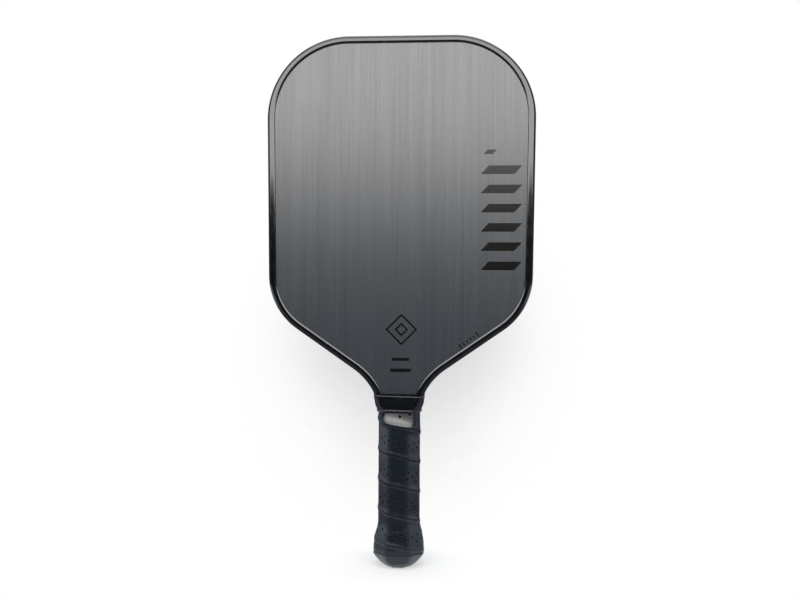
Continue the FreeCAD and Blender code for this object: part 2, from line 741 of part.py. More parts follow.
def groove_sketch(body, tag, facing):
    """Outline of a staple's crown with its gap, at the bottom of the groove."""
    sketch = new_sketch(body, "groove_" + tag, "XZ_Plane",
                        "%d * (Sizes.staple_crown_depth - Sizes.staple_gap)" % -facing)
    half_width = "Sizes.staple_span / 2 + Sizes.staple_wire / 2 + Sizes.staple_gap"
    low = "Sizes.staple_z - Sizes.staple_wire / 2 - Sizes.staple_gap"
    high = "Sizes.staple_z + Sizes.staple_wire / 2 + Sizes.staple_gap"
    x, low_z, high_z = num(half_width), num(low), num(high)
    bottom, right, top, left = polygon(
        sketch, [(-x, low_z), (x, low_z), (x, high_z), (-x, high_z)])
    sketch.addConstraint([
        Constraint("Vertical", right),
        Constraint("Horizontal", top),
        Constraint("Vertical", left),
        Constraint("Symmetric", bottom, 1, bottom, 2, -2),
    ])
    bind(sketch, "DistanceX", (-1, 1, right, 1), half_width, "half_x")
    bind(sketch, "DistanceY", (-1, 1, right, 1), low, "low_z")
    bind(sketch, "DistanceY", (-1, 1, right, 2), high, "high_z")
    return sketch


def butt_cap():
    cap = new_body("butt_cap")
    loft(cap, "cap_foot", [octagon(cap, "cap_foot_%d" % k, foot_section(*row))
                           for k, row in enumerate(FOOT)])
    loft(cap, "cap_skirt", [octagon(cap, "cap_skirt_%d" % k, flared(*row))
                            for k, row in enumerate(SKIRT)])
    well = grown(flared("Sizes.cap_floor", 0.0, 0.0), "Sizes.slot_gap")
    pocket(cap, "cap_well_cut", octagon(cap, "cap_well", well), "Sizes.cap_top", reverse=True)
    seat = centred_circle(cap, "plug_seat", "Sizes.plug_radius + Sizes.plug_gap", "seat_r")
    pocket(cap, "plug_seat_cut", seat, "Sizes.plug_depth", reverse=True)
    # grooves in the skirt for the staples' crowns, then the holes for their legs
    for tag, facing in FACINGS:
        pocket(cap, "groove_cut_" + tag, groove_sketch(cap, tag, facing),
               "Sizes.groove_length", reverse=facing < 0)
    pocket(cap, "cap_holes", staple_holes(cap, "cap_staple_holes"),
           "Sizes.cap_hole_length", symmetric=True)


def butt_cap_plug():
    """Disc with a small chamfer, flush with the end of the cap."""
    body = new_body("butt_cap_plug")
    sketch = centred_circle(body, "plug_disc", "Sizes.plug_radius", "disc_r")
    disc = pad(body, "plug_pad", sketch, "Sizes.plug_depth")
    outer_edges = ["Edge%d" % k for k, edge in enumerate(disc.Shape.Edges, start=1)
                   if edge.BoundBox.ZMax < 1e-6 and edge.Length > 1]
    chamfer = body.newObject("PartDesign::Chamfer", "plug_chamfer")
    chamfer.Base = (disc, outer_edges)
    chamfer.setExpression("Size", "Sizes.plug_chamfer")
    body.Tip = chamfer
    doc.recompute()


butt_cap()
butt_cap_plug()


# ---- staples: flat crown and two round legs, one in the front of the skirt and one in the back
def set_expressions(obj, expressions):
    for prop, expr in expressions.items():
        obj.setExpression(prop, expr)


def staple(tag, facing):
    crown = doc.addObject("Part::Box", "staple_crown_" + tag)
    set_expressions(crown, {
        "Length": "Sizes.staple_span + Sizes.staple_wire",
        "Width": "Sizes.staple_crown_thick",
        "Height": "Sizes.staple_wire",
        "Placement.Base.x": "-(Sizes.staple_span + Sizes.staple_wire) / 2",
        "Placement.Base.y": ("Sizes.staple_crown_depth" if facing > 0 else
                             "-Sizes.staple_crown_depth - Sizes.staple_crown_thick"),
        "Placement.Base.z": "Sizes.staple_z - Sizes.staple_wire / 2",
    })
    legs = []
    for side_name, side in (("left", -1), ("right", 1)):
        leg = doc.addObject("Part::Cylinder", "staple_leg_%s_%s" % (tag, side_name))
        # a leg starts in the crown and points at the handle's axis
        turn = FreeCAD.Rotation(Vector(1, 0, 0), 90 * facing)
        leg.Placement = FreeCAD.Placement(Vector(0, 0, 0), turn)
        set_expressions(leg, {
            "Radius": "Sizes.staple_wire / 2",
            "Height": "Sizes.staple_leg",
            "Placement.Base.x": "%d * Sizes.staple_span / 2" % side,
            "Placement.Base.y":
                "%d * (Sizes.staple_crown_depth + Sizes.staple_leg_start)" % facing,
            "Placement.Base.z": "Sizes.staple_z",
        })
        legs.append(leg)
    fuse = doc.addObject("Part::MultiFuse", "staple_" + tag)
    fuse.Shapes = [crown] + legs
    return fuse


staples = [staple(tag, facing) for tag, facing in FACINGS]
doc.recompute()
staple_group = doc.addObject("Part::Compound", "butt_cap_staples")
staple_group.Links = staples
doc.recompute()


# ---- layers wound on the handle, as closed sleeves: adhesive film, cushion grip, finishing tape
def sleeve(label, stem, sections, inner, outer):
    """Sleeve between the sections grown by `inner` and by `outer`; `stem` starts the names of
    its sketches and lofts."""
    body = new_body(label)
    for kind, growth, additive in (("out", outer, True), ("in", inner, False)):
        sketches = [octagon(body, "%s_%s_%d" % (stem, kind, k), grown(section, growth))
                    for k, section in enumerate(sections)]
        loft(body, "%s_%sside" % (stem, kind), sketches, additive)


KNEE_DROP = num("Sizes.pallet_half_depth - Sizes.ramp_knee_depth")


def ramp_drop(level):
    """How far the front and back flats have come in at a level on the steep part of the ramp."""
    start = size("ramp_start")
    return KNEE_DROP * (num(level) - start) / (size("wrap_top") - start)


RAMP_FOOT = flared("Sizes.ramp_start", 0.0, 0.0)

film_top = "Sizes.wrap_top - Sizes.adhesive_setback"
sleeve("grip_adhesive", "grip_adhesive",
       [flared(31.6, 0.0, 0.0), RAMP_FOOT, on_ramp("pallet", film_top, ramp_drop(film_top))],
       inner="0", outer="Sizes.adhesive")

# the grip lies over the cap's skirt, steps down at the cap's top and follows the pallets;
# columns as in SKIRT
WRAP_FLARE = [(10.25, 3.2, 2.4)] + SKIRT[1:6] + [(31.3, 0.3, 0.3), (31.5, 0.0, 0.0)]
sleeve("grip_wrap", "grip_wrap",
       [flared(*row) for row in WRAP_FLARE]
       + [RAMP_FOOT, on_ramp("pallet", "Sizes.wrap_top", KNEE_DROP)],
       inner="Sizes.adhesive + Sizes.grip_gap",
       outer="Sizes.wrap_half_width - Sizes.pallet_half_width")

# the tape lies on the grip's ramp, then widens over the ends of the edge guard
sleeve("finishing_tape", "tape",
       [on_ramp("wrap", "Sizes.tape_bottom", ramp_drop("Sizes.tape_bottom"), "Sizes.tape_gap"),
        on_ramp("wrap", "Sizes.wrap_top + Sizes.tape_knee_rise", KNEE_DROP, "Sizes.tape_gap"),
        ("121.7", "17.7", "10.6", "14.2", "7.2"),
        ("Sizes.tape_top", "19.1", "9.3", "17.6", "7.9")],
       inner="0", outer="Sizes.tape_layer")

doc.recompute()

# ---- export
PARTS = [
    "honeycomb_core", "core_veil_front", "core_veil_back", "face_skin_front", "face_skin_back",
    "edge_guard_tape", "edge_guard", "handle_pallet_front", "handle_pallet_back", "butt_cap",
    "butt_cap_plug", "butt_cap_staples", "grip_adhesive", "grip_wrap", "finishing_tape",
]
for obj in doc.Objects:
    bad = [state for state in obj.State if state in ("Invalid", "Error")]
    if bad:
        raise RuntimeError("%s: %s" % (obj.Name, bad))
os.makedirs("parts", exist_ok=True)
for name in PARTS:
    shape = doc.getObjectsByLabel(name)[0].Shape
    if shape.isNull() or not shape.isValid() or not shape.Solids:
        raise RuntimeError("%s has no valid solid" % name)
    shape.exportStep("parts/%s.step" % name)
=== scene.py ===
"""A paddle with a flat carbon-skinned blade, a U-shaped edge guard, a wound grip and a butt cap.

It stands upright on its butt: +Z runs from the butt cap up to the tip of the blade, X runs across
the blade and the front face looks towards -Y. "Right" is +X, as seen from the front.
Paddle sizes are in millimetres; lights and the camera's clipping are in metres.
"""
import bpy
import bmesh
import math
import numpy as np
from mathutils import Matrix, Vector


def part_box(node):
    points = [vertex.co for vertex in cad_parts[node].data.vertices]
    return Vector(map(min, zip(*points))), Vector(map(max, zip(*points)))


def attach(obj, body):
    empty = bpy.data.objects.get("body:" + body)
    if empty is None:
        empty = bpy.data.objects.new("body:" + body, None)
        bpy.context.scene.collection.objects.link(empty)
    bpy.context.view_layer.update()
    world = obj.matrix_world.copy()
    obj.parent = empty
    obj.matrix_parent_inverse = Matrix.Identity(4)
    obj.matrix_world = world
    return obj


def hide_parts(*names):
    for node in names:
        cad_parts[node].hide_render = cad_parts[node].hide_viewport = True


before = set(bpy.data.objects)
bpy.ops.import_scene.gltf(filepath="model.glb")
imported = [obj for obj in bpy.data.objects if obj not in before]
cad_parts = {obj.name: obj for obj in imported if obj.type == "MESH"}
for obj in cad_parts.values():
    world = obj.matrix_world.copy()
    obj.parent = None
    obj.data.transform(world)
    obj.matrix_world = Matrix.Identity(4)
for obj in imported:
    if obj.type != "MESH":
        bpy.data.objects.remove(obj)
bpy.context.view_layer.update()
scene = bpy.context.scene
MM = 0.001
FRONT = -1.0             # sign of Y on each face
BACK = 1.0


# =====================================================================================================
# Main sizes
# =====================================================================================================
def box_mm(piece):
    """Lowest and highest corner of a CAD piece, in millimetres."""
    low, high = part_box(piece)
    return [c / MM for c in low], [c / MM for c in high]


guard_lo, guard_hi = box_mm("edge_guard")
GUARD_LOW = guard_lo[2]
LENGTH = guard_hi[2]
HALF_WIDTH = guard_hi[0]
GUARD_DEPTH = -guard_lo[1]               # from the middle plane to the guard's face
SKIN = -box_mm("face_skin_front")[0][1]  # from the middle plane to the blade's face
wrap_lo, wrap_hi = box_mm("grip_wrap")
WRAP_LOW = wrap_lo[2]
WRAP_TOP = wrap_hi[2]
tape_lo, tape_hi = box_mm("finishing_tape")
TAPE_LOW = tape_lo[2]
TAPE_TOP = tape_hi[2]
pallet_lo, pallet_hi = box_mm("handle_pallet_front")
HANDLE_HALF_W = pallet_hi[0]
HANDLE_HALF_D = -pallet_lo[1]
CAP_TOP = box_mm("butt_cap")[1][2]
plug_hi = box_mm("butt_cap_plug")[1]
PLUG_SEAT_R = plug_hi[0] + 0.05
PLUG_DEPTH = plug_hi[2]

# outline of the blade: radii and (x, z) centres of the right-hand arcs
TIP_R = 62.1
CHEEK_R = 50.2
NECK_R = 47.9
NECK_HALF_W = 14.0
TIP_CENTER = np.array([HALF_WIDTH - TIP_R, LENGTH - TIP_R])
CHEEK_CENTER = np.array([49.5, 219.2])
NECK_CENTER = np.array([NECK_HALF_W + NECK_R, 108.5])

# handle: a rounded octagon
FACET_HALF = 6.2         # half length of the front and back facets
SIDE_HALF = 5.3          # half length of the side facets
CORNER_R = 4.6
LAP_SLANT = 0.235        # rise of the grip's last lap over its run across the front

# grip ribbon
RIBBON_H = 1.42          # thickness of the plain part
PITCH = 22.4
SEAM_Z = 104.2           # height of a lap's lower edge on the middle of the front facet
RIBBON_Z0 = SEAM_Z - 5 * PITCH


# =====================================================================================================
# Shader node helpers
# =====================================================================================================
class Graph:
    """Builds nodes in a shader tree; an input may be a plain value or another node's output."""

    def __init__(self, tree):
        self.tree = tree

    def node(self, kind, inputs=None, **props):
        node = self.tree.nodes.new("ShaderNode" + kind)
        for key, value in props.items():
            setattr(node, key, value)
        for key, value in (inputs or {}).items():
            if isinstance(value, bpy.types.NodeSocket):
                self.tree.links.new(value, node.inputs[key])
            else:
                node.inputs[key].default_value = value
        return node

    def math(self, operation, *values):
        return self.node("Math", dict(enumerate(values)), operation=operation).outputs[0]

    def add(self, first, second):
        return self.math("ADD", first, second)

    def remap(self, value, to, span=(0.3, 0.7), smooth=False):
        """Map span onto to, clamped. Noise values mostly fall in the default span."""
        inputs = {"Value": value, "From Min": span[0], "From Max": span[1],
                  "To Min": to[0], "To Max": to[1]}
        return self.node("MapRange", inputs, clamp=True,
                         interpolation_type="SMOOTHSTEP" if smooth else "LINEAR").outputs["Result"]

    def mix_color(self, factor, low, high):
        inputs = {"Factor": factor, 6: (*low, 1), 7: (*high, 1)}
        return self.node("Mix", inputs, data_type="RGBA").outputs[2]

    def mix_shader(self, factor, first, second):
        return self.node("MixShader", {0: factor, 1: first, 2: second}).outputs[0]

    def xyz(self, vector):
        return self.node("SeparateXYZ", {0: vector}).outputs


class NodeMaterial(Graph):
    """A Principled material whose textures are laid out in object space, in millimetres."""

    def __init__(self, name, color, rough=0.5, spec=0.5, metallic=0.0):
        self.material = bpy.data.materials.new(name)
        self.material.use_nodes = True
        self.material.diffuse_color = (*color, 1)
        super().__init__(self.material.node_tree)
        self.bsdf = self.tree.nodes["Principled BSDF"]
        for key, value in (("Base Color", (*color, 1)), ("Roughness", rough),
                           ("Specular IOR Level", spec), ("Metallic", metallic)):
            self.bsdf.inputs[key].default_value = value
        self.coords = self.stretch((1000, 1000, 1000), self.node("TexCoord").outputs["Object"])
        self.normal = None

    def stretch(self, scale, vector):
        return self.node("Mapping", {"Scale": scale, "Vector": vector}).outputs["Vector"]

    def noise(self, scale, detail=2.0, rough=0.5, stretch=None):
        vector = self.stretch(stretch, self.coords) if stretch else self.coords
        inputs = {"Scale": scale, "Detail": detail, "Roughness": rough, "Vector": vector}
        return self.node("TexNoise", inputs).outputs["Fac"]

    def drive(self, key, socket):
        self.tree.links.new(socket, self.bsdf.inputs[key])

    def tint(self, value, low, high, span=(0.3, 0.7)):
        """Base colour running from low to high as value crosses span."""
        self.drive("Base Color", self.mix_color(self.remap(value, span=span, to=(0, 1)), low, high))

    def rough(self, socket):
        self.drive("Roughness", socket)

    def spec(self, socket):
        self.drive("Specular IOR Level", socket)

    def bump(self, height, depth, strength):
        """Lay another relief, depth millimetres deep, over those already there."""
        inputs = {"Strength": strength, "Distance": depth * MM, "Height": height}
        if self.normal is not None:
            inputs["Normal"] = self.normal
        self.normal = self.node("Bump", inputs).outputs["Normal"]
        self.drive("Normal", self.normal)


# =====================================================================================================
# Materials of the paddle
# =====================================================================================================
def carbon_material():
    """Satin unpainted carbon skin: straight tows along the blade under a peel-ply grain."""
    m = NodeMaterial("carbon_skin", color=(0.016, 0.020, 0.027), rough=0.31, spec=0.66)
    tow = m.noise(scale=1.0, detail=4.0, rough=0.62, stretch=(0.22, 0.1, 0.0040))
    fine = m.noise(scale=1.0, detail=4.0, rough=0.65, stretch=(1.9, 0.3, 0.016))
    hair = m.noise(scale=1.0, stretch=(7.0, 0.5, 0.09))
    grain = m.noise(scale=2.2, detail=3.0, rough=0.6)
    speck = m.noise(scale=1.1, detail=3.0, rough=0.7)
    streak = m.add(m.math("MULTIPLY", tow, 0.5), m.math("MULTIPLY", fine, 0.5))
    m.tint(streak, span=(0.36, 0.64), low=(0.0131, 0.0175, 0.0222), high=(0.0148, 0.0192, 0.0240))
    # the tows and the resin between them reflect a few per cent more or less than each other
    gloss = m.add(m.remap(tow, span=(0.34, 0.66), to=(0.598, 0.702)),
                  m.remap(fine, span=(0.34, 0.66), to=(-0.055, 0.055)))
    m.spec(m.add(gloss, m.remap(speck, to=(-0.07, 0.07))))
    m.rough(m.add(m.remap(streak, span=(0.36, 0.64), to=(0.302, 0.323)),
                  m.remap(grain, to=(-0.01, 0.012))))
    # peel-ply weave: a very fine square grain all over, and hair-fine scratches along the fibres
    weave_pitch = 0.62
    x, _, z = m.xyz(m.coords)
    wave_x, wave_z = [m.math("SINE", m.math("MULTIPLY", c, 2 * math.pi / weave_pitch))
                      for c in (x, z)]
    m.bump(m.math("MULTIPLY", wave_x, wave_z), depth=0.012, strength=0.35)
    m.bump(hair, depth=0.02, strength=0.30)
    m.bump(grain, depth=0.015, strength=0.25)
    return m.material


def guard_material():
    """Glossy black extruded edge guard with a little handling haze."""
    m = NodeMaterial("edge_guard", color=(0.0015, 0.0018, 0.003), rough=0.12, spec=0.52)
    haze = m.noise(scale=0.09, detail=4.0, rough=0.6)
    fine = m.noise(scale=1.4, detail=3.0, rough=0.6)
    m.rough(m.add(m.remap(haze, span=(0.35, 0.7), to=(0.10, 0.16)),
                  m.remap(fine, to=(-0.01, 0.012))))
    m.tint(haze, low=(0.0010, 0.0013, 0.0024), high=(0.0024, 0.0028, 0.0042))
    m.bump(m.noise(scale=0.22), depth=0.05, strength=0.25)
    m.bump(fine, depth=0.01, strength=0.2)
    return m.material


def grip_material():
    """Dark slate polyurethane cushion grip: soft semi-matt skin with a fine leather grain."""
    m = NodeMaterial("grip", color=(0.0012, 0.0032, 0.0075), rough=0.27, spec=0.38)
    blotch = m.noise(scale=0.10, detail=4.0, rough=0.6)
    fine = m.noise(scale=1.6, detail=5.0, rough=0.62)
    m.tint(m.add(m.math("MULTIPLY", blotch, 0.6), m.math("MULTIPLY", fine, 0.4)),
           span=(0.38, 0.62), low=(0.0006, 0.0022, 0.0055), high=(0.0016, 0.0042, 0.0095))
    m.rough(m.add(m.remap(blotch, to=(0.25, 0.31)), m.remap(fine, to=(-0.02, 0.02))))
    # the last turn is stretched over the step of the core; a lens-shaped patch of raised specular
    # along its slanting crest paints in the highlight there
    crest_z, crest_half_height = 108.9, 3.5
    crest_x, crest_half_length = -1.0, 15.0
    x, _, z = m.xyz(m.coords)

    def squared_offset(distance, half_size):
        return m.math("POWER", m.math("DIVIDE", m.math("ABSOLUTE", distance), half_size), 2.0)

    level = m.add(z, m.math("MULTIPLY", x, LAP_SLANT))
    across = squared_offset(m.math("SUBTRACT", level, crest_z), crest_half_height)
    along = squared_offset(m.add(x, -crest_x), crest_half_length)
    lens = m.math("SUBTRACT", 1.0, m.add(across, along))
    m.spec(m.remap(lens, span=(0.0, 0.9), to=(0.33, 0.70), smooth=True))
    cell = m.node("TexVoronoi", {"Scale": 1.7, "Vector": m.coords},
                  feature="DISTANCE_TO_EDGE").outputs["Distance"]
    m.bump(m.remap(cell, span=(0.0, 0.18), to=(0, 1), smooth=True), depth=0.045, strength=0.35)
    m.bump(fine, depth=0.05, strength=0.45)
    m.bump(m.noise(scale=0.35), depth=0.12, strength=0.30)
    return m.material


def tape_material():
    """Glossy black stretch tape: smooth, slightly wavy where it bridges the layers under it."""
    m = NodeMaterial("finishing_tape", color=(0.0008, 0.0012, 0.0026), rough=0.12)
    wave = m.noise(scale=1.0, stretch=(0.10, 0.10, 0.35))
    fine = m.noise(scale=1.2, detail=3.0, rough=0.6)
    m.rough(m.remap(fine, to=(0.10, 0.19)))
    m.tint(wave, low=(0.0006, 0.0009, 0.0020), high=(0.0013, 0.0018, 0.0036))
    m.bump(wave, depth=0.12, strength=0.30)
    m.bump(fine, depth=0.01, strength=0.3)
    return m.material


def cap_material():
    """Moulded butt cap: dark satin rubbery plastic with a spark-eroded mould texture."""
    m = NodeMaterial("butt_cap", color=(0.004, 0.007, 0.012), rough=0.29, spec=0.6)
    spark = m.noise(scale=3.2, detail=4.0, rough=0.7)
    blotch = m.noise(scale=0.12, detail=3.0, rough=0.55)
    m.tint(blotch, span=(0.35, 0.65), low=(0.0028, 0.0050, 0.0090), high=(0.0050, 0.0080, 0.0130))
    m.rough(m.add(m.remap(blotch, to=(0.27, 0.33)), m.remap(spark, to=(-0.03, 0.03))))
    # raised specular on the rounded lower edge of the foot and towards its sides paints in their
    # highlights
    x, _, z = m.xyz(m.coords)
    plain_level = 0.38
    edge = m.add(m.remap(z, span=(1.5, 5.0), to=(0.34, 0.0), smooth=True),
                 m.remap(m.math("ABSOLUTE", x), span=(8.0, 13.0), to=(0.0, 0.30), smooth=True))
    m.spec(m.add(plain_level, edge))
    m.bump(spark, depth=0.03, strength=0.5)
    return m.material


def ink_material():
    """Printed gloss ink laid over the carbon; it shows the grain below only faintly."""
    m = NodeMaterial("printed_ink", color=(0.003, 0.003, 0.0027), rough=0.22, spec=0.20)
    fine = m.noise(scale=0.35, detail=3.0, rough=0.6)
    m.rough(m.remap(fine, to=(0.20, 0.24)))
    m.tint(fine, low=(0.0022, 0.0022, 0.0020), high=(0.0040, 0.0039, 0.0034))
    m.bump(m.noise(scale=2.2, detail=3.0, rough=0.6), depth=0.01, strength=0.3)
    return m.material


def hole_shade_material():
    """The inside of the grip's perforations: dark and matt, painted shade down in the holes."""
    m = NodeMaterial("grip_hole_shade", color=(0.0008, 0.001, 0.0014), rough=0.9, spec=0.05)
    m.tint(m.noise(scale=4.0), low=(0.0004, 0.0005, 0.0008), high=(0.0014, 0.0016, 0.0022))
    return m.material


def plain_material(name, low, high, rough, scale, depth, metallic=0.0, stretch=None):
    """Materials of the hidden inner pieces: a mottled colour with a matching grain."""
    m = NodeMaterial(name, color=high, rough=rough, metallic=metallic)
    mottle = m.noise(scale=scale, detail=4.0, rough=0.6, stretch=stretch)
    m.tint(mottle, span=(0.35, 0.65), low=low, high=high)
    m.rough(m.remap(mottle, to=(rough - 0.05, rough + 0.06)))
    m.bump(mottle, depth=depth, strength=0.5)
    return m.material


CARBON = carbon_material()
GUARD = guard_material()
GRIP = grip_material()
TAPE = tape_material()
CAP = cap_material()
INK = ink_material()
HOLE_SHADE = hole_shade_material()
HONEYCOMB = plain_material("honeycomb", low=(0.70, 0.71, 0.68), high=(0.82, 0.83, 0.80),
                           rough=0.5, scale=0.8, depth=0.02)
VEIL = plain_material("veil", low=(0.62, 0.62, 0.58), high=(0.80, 0.80, 0.76),
                      rough=0.8, scale=1.2, depth=0.05, stretch=(1, 1, 0.2))
PALLET = plain_material("pallet", low=(0.055, 0.056, 0.06), high=(0.085, 0.086, 0.09),
                        rough=0.6, scale=1.5, depth=0.06)
STAPLE = plain_material("staple_steel", low=(0.42, 0.42, 0.43), high=(0.58, 0.58, 0.60),
                        rough=0.3, scale=3.0, depth=0.01, metallic=1.0, stretch=(0.2, 3, 3))
GUARD_FILM = plain_material("bonding_film", low=(0.60, 0.58, 0.50), high=(0.72, 0.70, 0.62),
                            rough=0.45, scale=0.6, depth=0.02)
GRIP_FILM = plain_material("grip_bonding_film", low=(0.004, 0.005, 0.007),
                           high=(0.012, 0.013, 0.016), rough=0.6, scale=1.0, depth=0.03)

# CAD pieces that keep their own mesh
CAD_MATERIALS = {
    "face_skin_front": CARBON, "face_skin_back": CARBON, "butt_cap_plug": CAP,
    "honeycomb_core": HONEYCOMB, "core_veil_front": VEIL, "handle_pallet_front": PALLET,
    "butt_cap_staples": STAPLE, "edge_guard_tape": GUARD_FILM, "core_veil_back": VEIL,
    "handle_pallet_back": PALLET, "grip_adhesive": GRIP_FILM,
}
for piece, material in CAD_MATERIALS.items():
    cad_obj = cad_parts[piece]
    if not cad_obj.material_slots:
        cad_obj.data.materials.append(material)
    for material_slot in cad_obj.material_slots:
        material_slot.material = material


# =====================================================================================================
# Mesh helpers
# =====================================================================================================
def mesh_object(name, verts, faces):
    """A bare object; verts in millimetres, in the paddle's frame."""
    mesh = bpy.data.meshes.new(name)
    mesh.from_pydata([tuple(float(c) * MM for c in p) for p in verts], [], faces)
    obj = bpy.data.objects.new(name, mesh)
    scene.collection.objects.link(obj)
    return obj


def finish_mesh(obj, materials, sharp_deg=None, merge=True):
    """Clean the mesh and hand it to the frame. Without sharp_deg the faces stay flat."""
    smooth = sharp_deg is not None
    bm = bmesh.new()
    bm.from_mesh(obj.data)
    if merge:
        bmesh.ops.remove_doubles(bm, verts=bm.verts, dist=0.002 * MM)
    bmesh.ops.recalc_face_normals(bm, faces=bm.faces)
    for face in bm.faces:
        face.smooth = smooth
    bm.to_mesh(obj.data)
    bm.free()
    if smooth:
        obj.data.set_sharp_from_angle(angle=math.radians(sharp_deg))
    for material in materials:
        obj.data.materials.append(material)
    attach(obj, "root")


def make_object(name, verts, faces, material, sharp_deg=None):
    obj = mesh_object(name, verts, faces)
    obj.data.validate()
    finish_mesh(obj, [material], sharp_deg)
    return obj


def grid_faces(rows, cols, flip=False):
    """Quads between successive closed rings of cols points."""
    faces = []
    for i in range(rows - 1):
        for j in range(cols):
            a, b = i * cols + j, i * cols + (j + 1) % cols
            c, d = b + cols, a + cols
            faces.append((a, d, c, b) if flip else (a, b, c, d))
    return faces


def end_faces(rows, cols):
    """The two polygons that close the first and the last ring."""
    return [tuple(range(cols)), tuple(reversed(range((rows - 1) * cols, rows * cols)))]


def look_up(table, position):
    """Every further column of a table, interpolated at a position in its first column."""
    table = np.asarray(table, float)
    return [np.interp(position, table[:, 0], column) for column in table.T[1:]]


def smooth_table(table, step, passes):
    """The same table resampled finely and softened, so a loft through it has no hard levels."""
    z = np.arange(table[0][0], table[-1][0] + step / 2, step)
    columns = look_up(table, z)
    for column in columns:
        for _ in range(passes):
            column[1:-1] = 0.25 * column[:-2] + 0.5 * column[1:-1] + 0.25 * column[2:]
    return np.stack([z] + columns, 1)


def smoothstep(start, end, x):
    k = np.clip((np.asarray(x, float) - start) / (end - start), 0, 1)
    return k * k * (3 - 2 * k)


def hash_noise(x, seed):
    """Smooth repeatable 1-D noise in -1..1."""
    x = np.asarray(x, float) + seed * 17.31
    cell = np.floor(x)
    blend = x - cell
    blend = blend * blend * (3 - 2 * blend)

    def knot(n):
        value = np.sin(n * 127.1 + seed * 311.7) * 43758.5453
        return 2 * (value - np.floor(value)) - 1
    return knot(cell) * (1 - blend) + knot(cell + 1) * blend


# =====================================================================================================
# Edge guard: U-channel swept round the blade
# =====================================================================================================
def blade_path(z_end):
    """Outer edge of the guard from the right neck (at height z_end), round the tip, to the left
    neck, as pairs of a point (x, z) and its outward normal. Arcs and lines meet at tangents."""
    arc_step, line_step = 1.6, 6.0
    right = []

    def unit(angle):
        return np.array([math.cos(angle), math.sin(angle)])

    def add_arc(center, radius, start, end, sign=1.0):
        count = max(4, int(abs(end - start) * radius / arc_step))
        for angle in np.linspace(start, end, count + 1):
            ray = unit(angle)
            right.append((center + radius * ray, ray * sign))

    def add_line(start, end, normal):
        """Only the points between the ends, which belong to the arcs."""
        count = max(2, int(np.hypot(*(end - start)) / line_step))
        for k in np.linspace(0, 1, count + 1)[1:-1]:
            right.append((start + (end - start) * k, normal))

    to_tip = TIP_CENTER - CHEEK_CENTER
    to_neck = NECK_CENTER - CHEEK_CENTER
    side_angle = (math.atan2(to_tip[1], to_tip[0])
                  - math.acos((CHEEK_R - TIP_R) / np.hypot(*to_tip)))
    shoulder_angle = (math.atan2(to_neck[1], to_neck[0])
                      + math.acos((CHEEK_R + NECK_R) / np.hypot(*to_neck)))
    side, shoulder = unit(side_angle), unit(shoulder_angle)
    up = np.array([0.0, 1.0])
    top = np.array([0.0, LENGTH])

    neck_start = math.pi - math.asin((z_end - NECK_CENTER[1]) / NECK_R)
    neck_end = math.atan2(-shoulder[1], -shoulder[0])
    add_arc(NECK_CENTER, NECK_R, neck_start, neck_end, sign=-1.0)
    add_line(NECK_CENTER - shoulder * NECK_R, CHEEK_CENTER + shoulder * CHEEK_R, shoulder)
    add_arc(CHEEK_CENTER, CHEEK_R, shoulder_angle, side_angle)
    add_line(CHEEK_CENTER + side * CHEEK_R, TIP_CENTER + side * TIP_R, side)
    add_arc(TIP_CENTER, TIP_R, side_angle, math.pi / 2)
    add_line(TIP_CENTER + np.array([0, TIP_R]), top, up)
    mirror = np.array([-1.0, 1.0])
    left = [(point * mirror, normal * mirror) for point, normal in reversed(right)]
    return right + [(top, up)] + left


def guard_profile():
    """(inset from the outer edge, y) round the section, from the middle of the outer web."""
    edge_r = 2.6             # rounding between the web and the face
    land = 1.2               # flat part of the face
    reach = 5.8              # full inset of the lip
    web = 1.6                # thickness of the outer web
    crown = 0.10             # bulge of the web
    y_lip = -(SKIN + 0.80)
    straight = GUARD_DEPTH - edge_r
    half = [(-crown * (1 - (y / straight) ** 2), -y) for y in np.linspace(0, straight, 5)]
    for angle in np.linspace(0, math.pi / 2, 9)[1:]:
        half.append((edge_r - edge_r * math.cos(angle), -straight - edge_r * math.sin(angle)))
    half.append((edge_r + land * 0.5, -GUARD_DEPTH - 0.02))
    half.append((edge_r + land, -GUARD_DEPTH + 0.01))
    # the lip rolls over towards the face and ends in a small polished chamfer
    for k in (0.35, 0.7, 1.0):
        inset = edge_r + land + (reach - 0.50 - edge_r - land) * k
        half.append((inset, -GUARD_DEPTH + (GUARD_DEPTH + y_lip) * k * k))
    half += [(reach - 0.28, y_lip + 0.10), (reach - 0.08, y_lip + 0.30),
             (reach, y_lip + 0.52), (reach, -SKIN - 0.04),
             (reach - 0.05, -SKIN), (web + 0.02, -SKIN), (web, -SKIN + 0.05)]
    return half + [(web, 0.0)] + [(inset, -y) for inset, y in reversed(half[1:])]


def build_guard():
    profile = guard_profile()
    path = blade_path(GUARD_LOW + 0.02)
    verts = []
    for point, normal in path:
        for inset, y in profile:
            x, z = point - normal * inset
            verts.append((x, y, z))
    faces = grid_faces(len(path), len(profile)) + end_faces(len(path), len(profile))
    obj = make_object("edge_guard_channel", verts, faces, GUARD, sharp_deg=50)
    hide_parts("edge_guard")


build_guard()

# =====================================================================================================
# Handle sections: an octagon with rounded corners, as a function of height
# =====================================================================================================
# flare of the butt cap's skirt over the straight handle: height, extra half width, extra half depth
SKIRT = smooth_table([
    (5.0, 3.2, 2.4), (10.2, 3.2, 2.4), (13.4, 3.45, 2.6), (17.9, 3.15, 2.4), (21.0, 2.5, 1.95),
    (25.4, 1.75, 1.35), (28.4, 0.8, 0.7), (31.0, 0.25, 0.25), (33.0, 0.0, 0.0), (140.0, 0.0, 0.0),
], step=0.5, passes=4)
# under the top of the grip the front and back come in towards the blade: height, how far
RAMP = smooth_table([
    (30.0, 0.0), (105.2, 0.0), (106.0, 0.1), (108.5, 1.0), (111.5, 2.0), (114.0, 2.6),
    (WRAP_TOP, 3.2), (128.4, 4.8), (140.0, 5.0),
], step=0.5, passes=4)
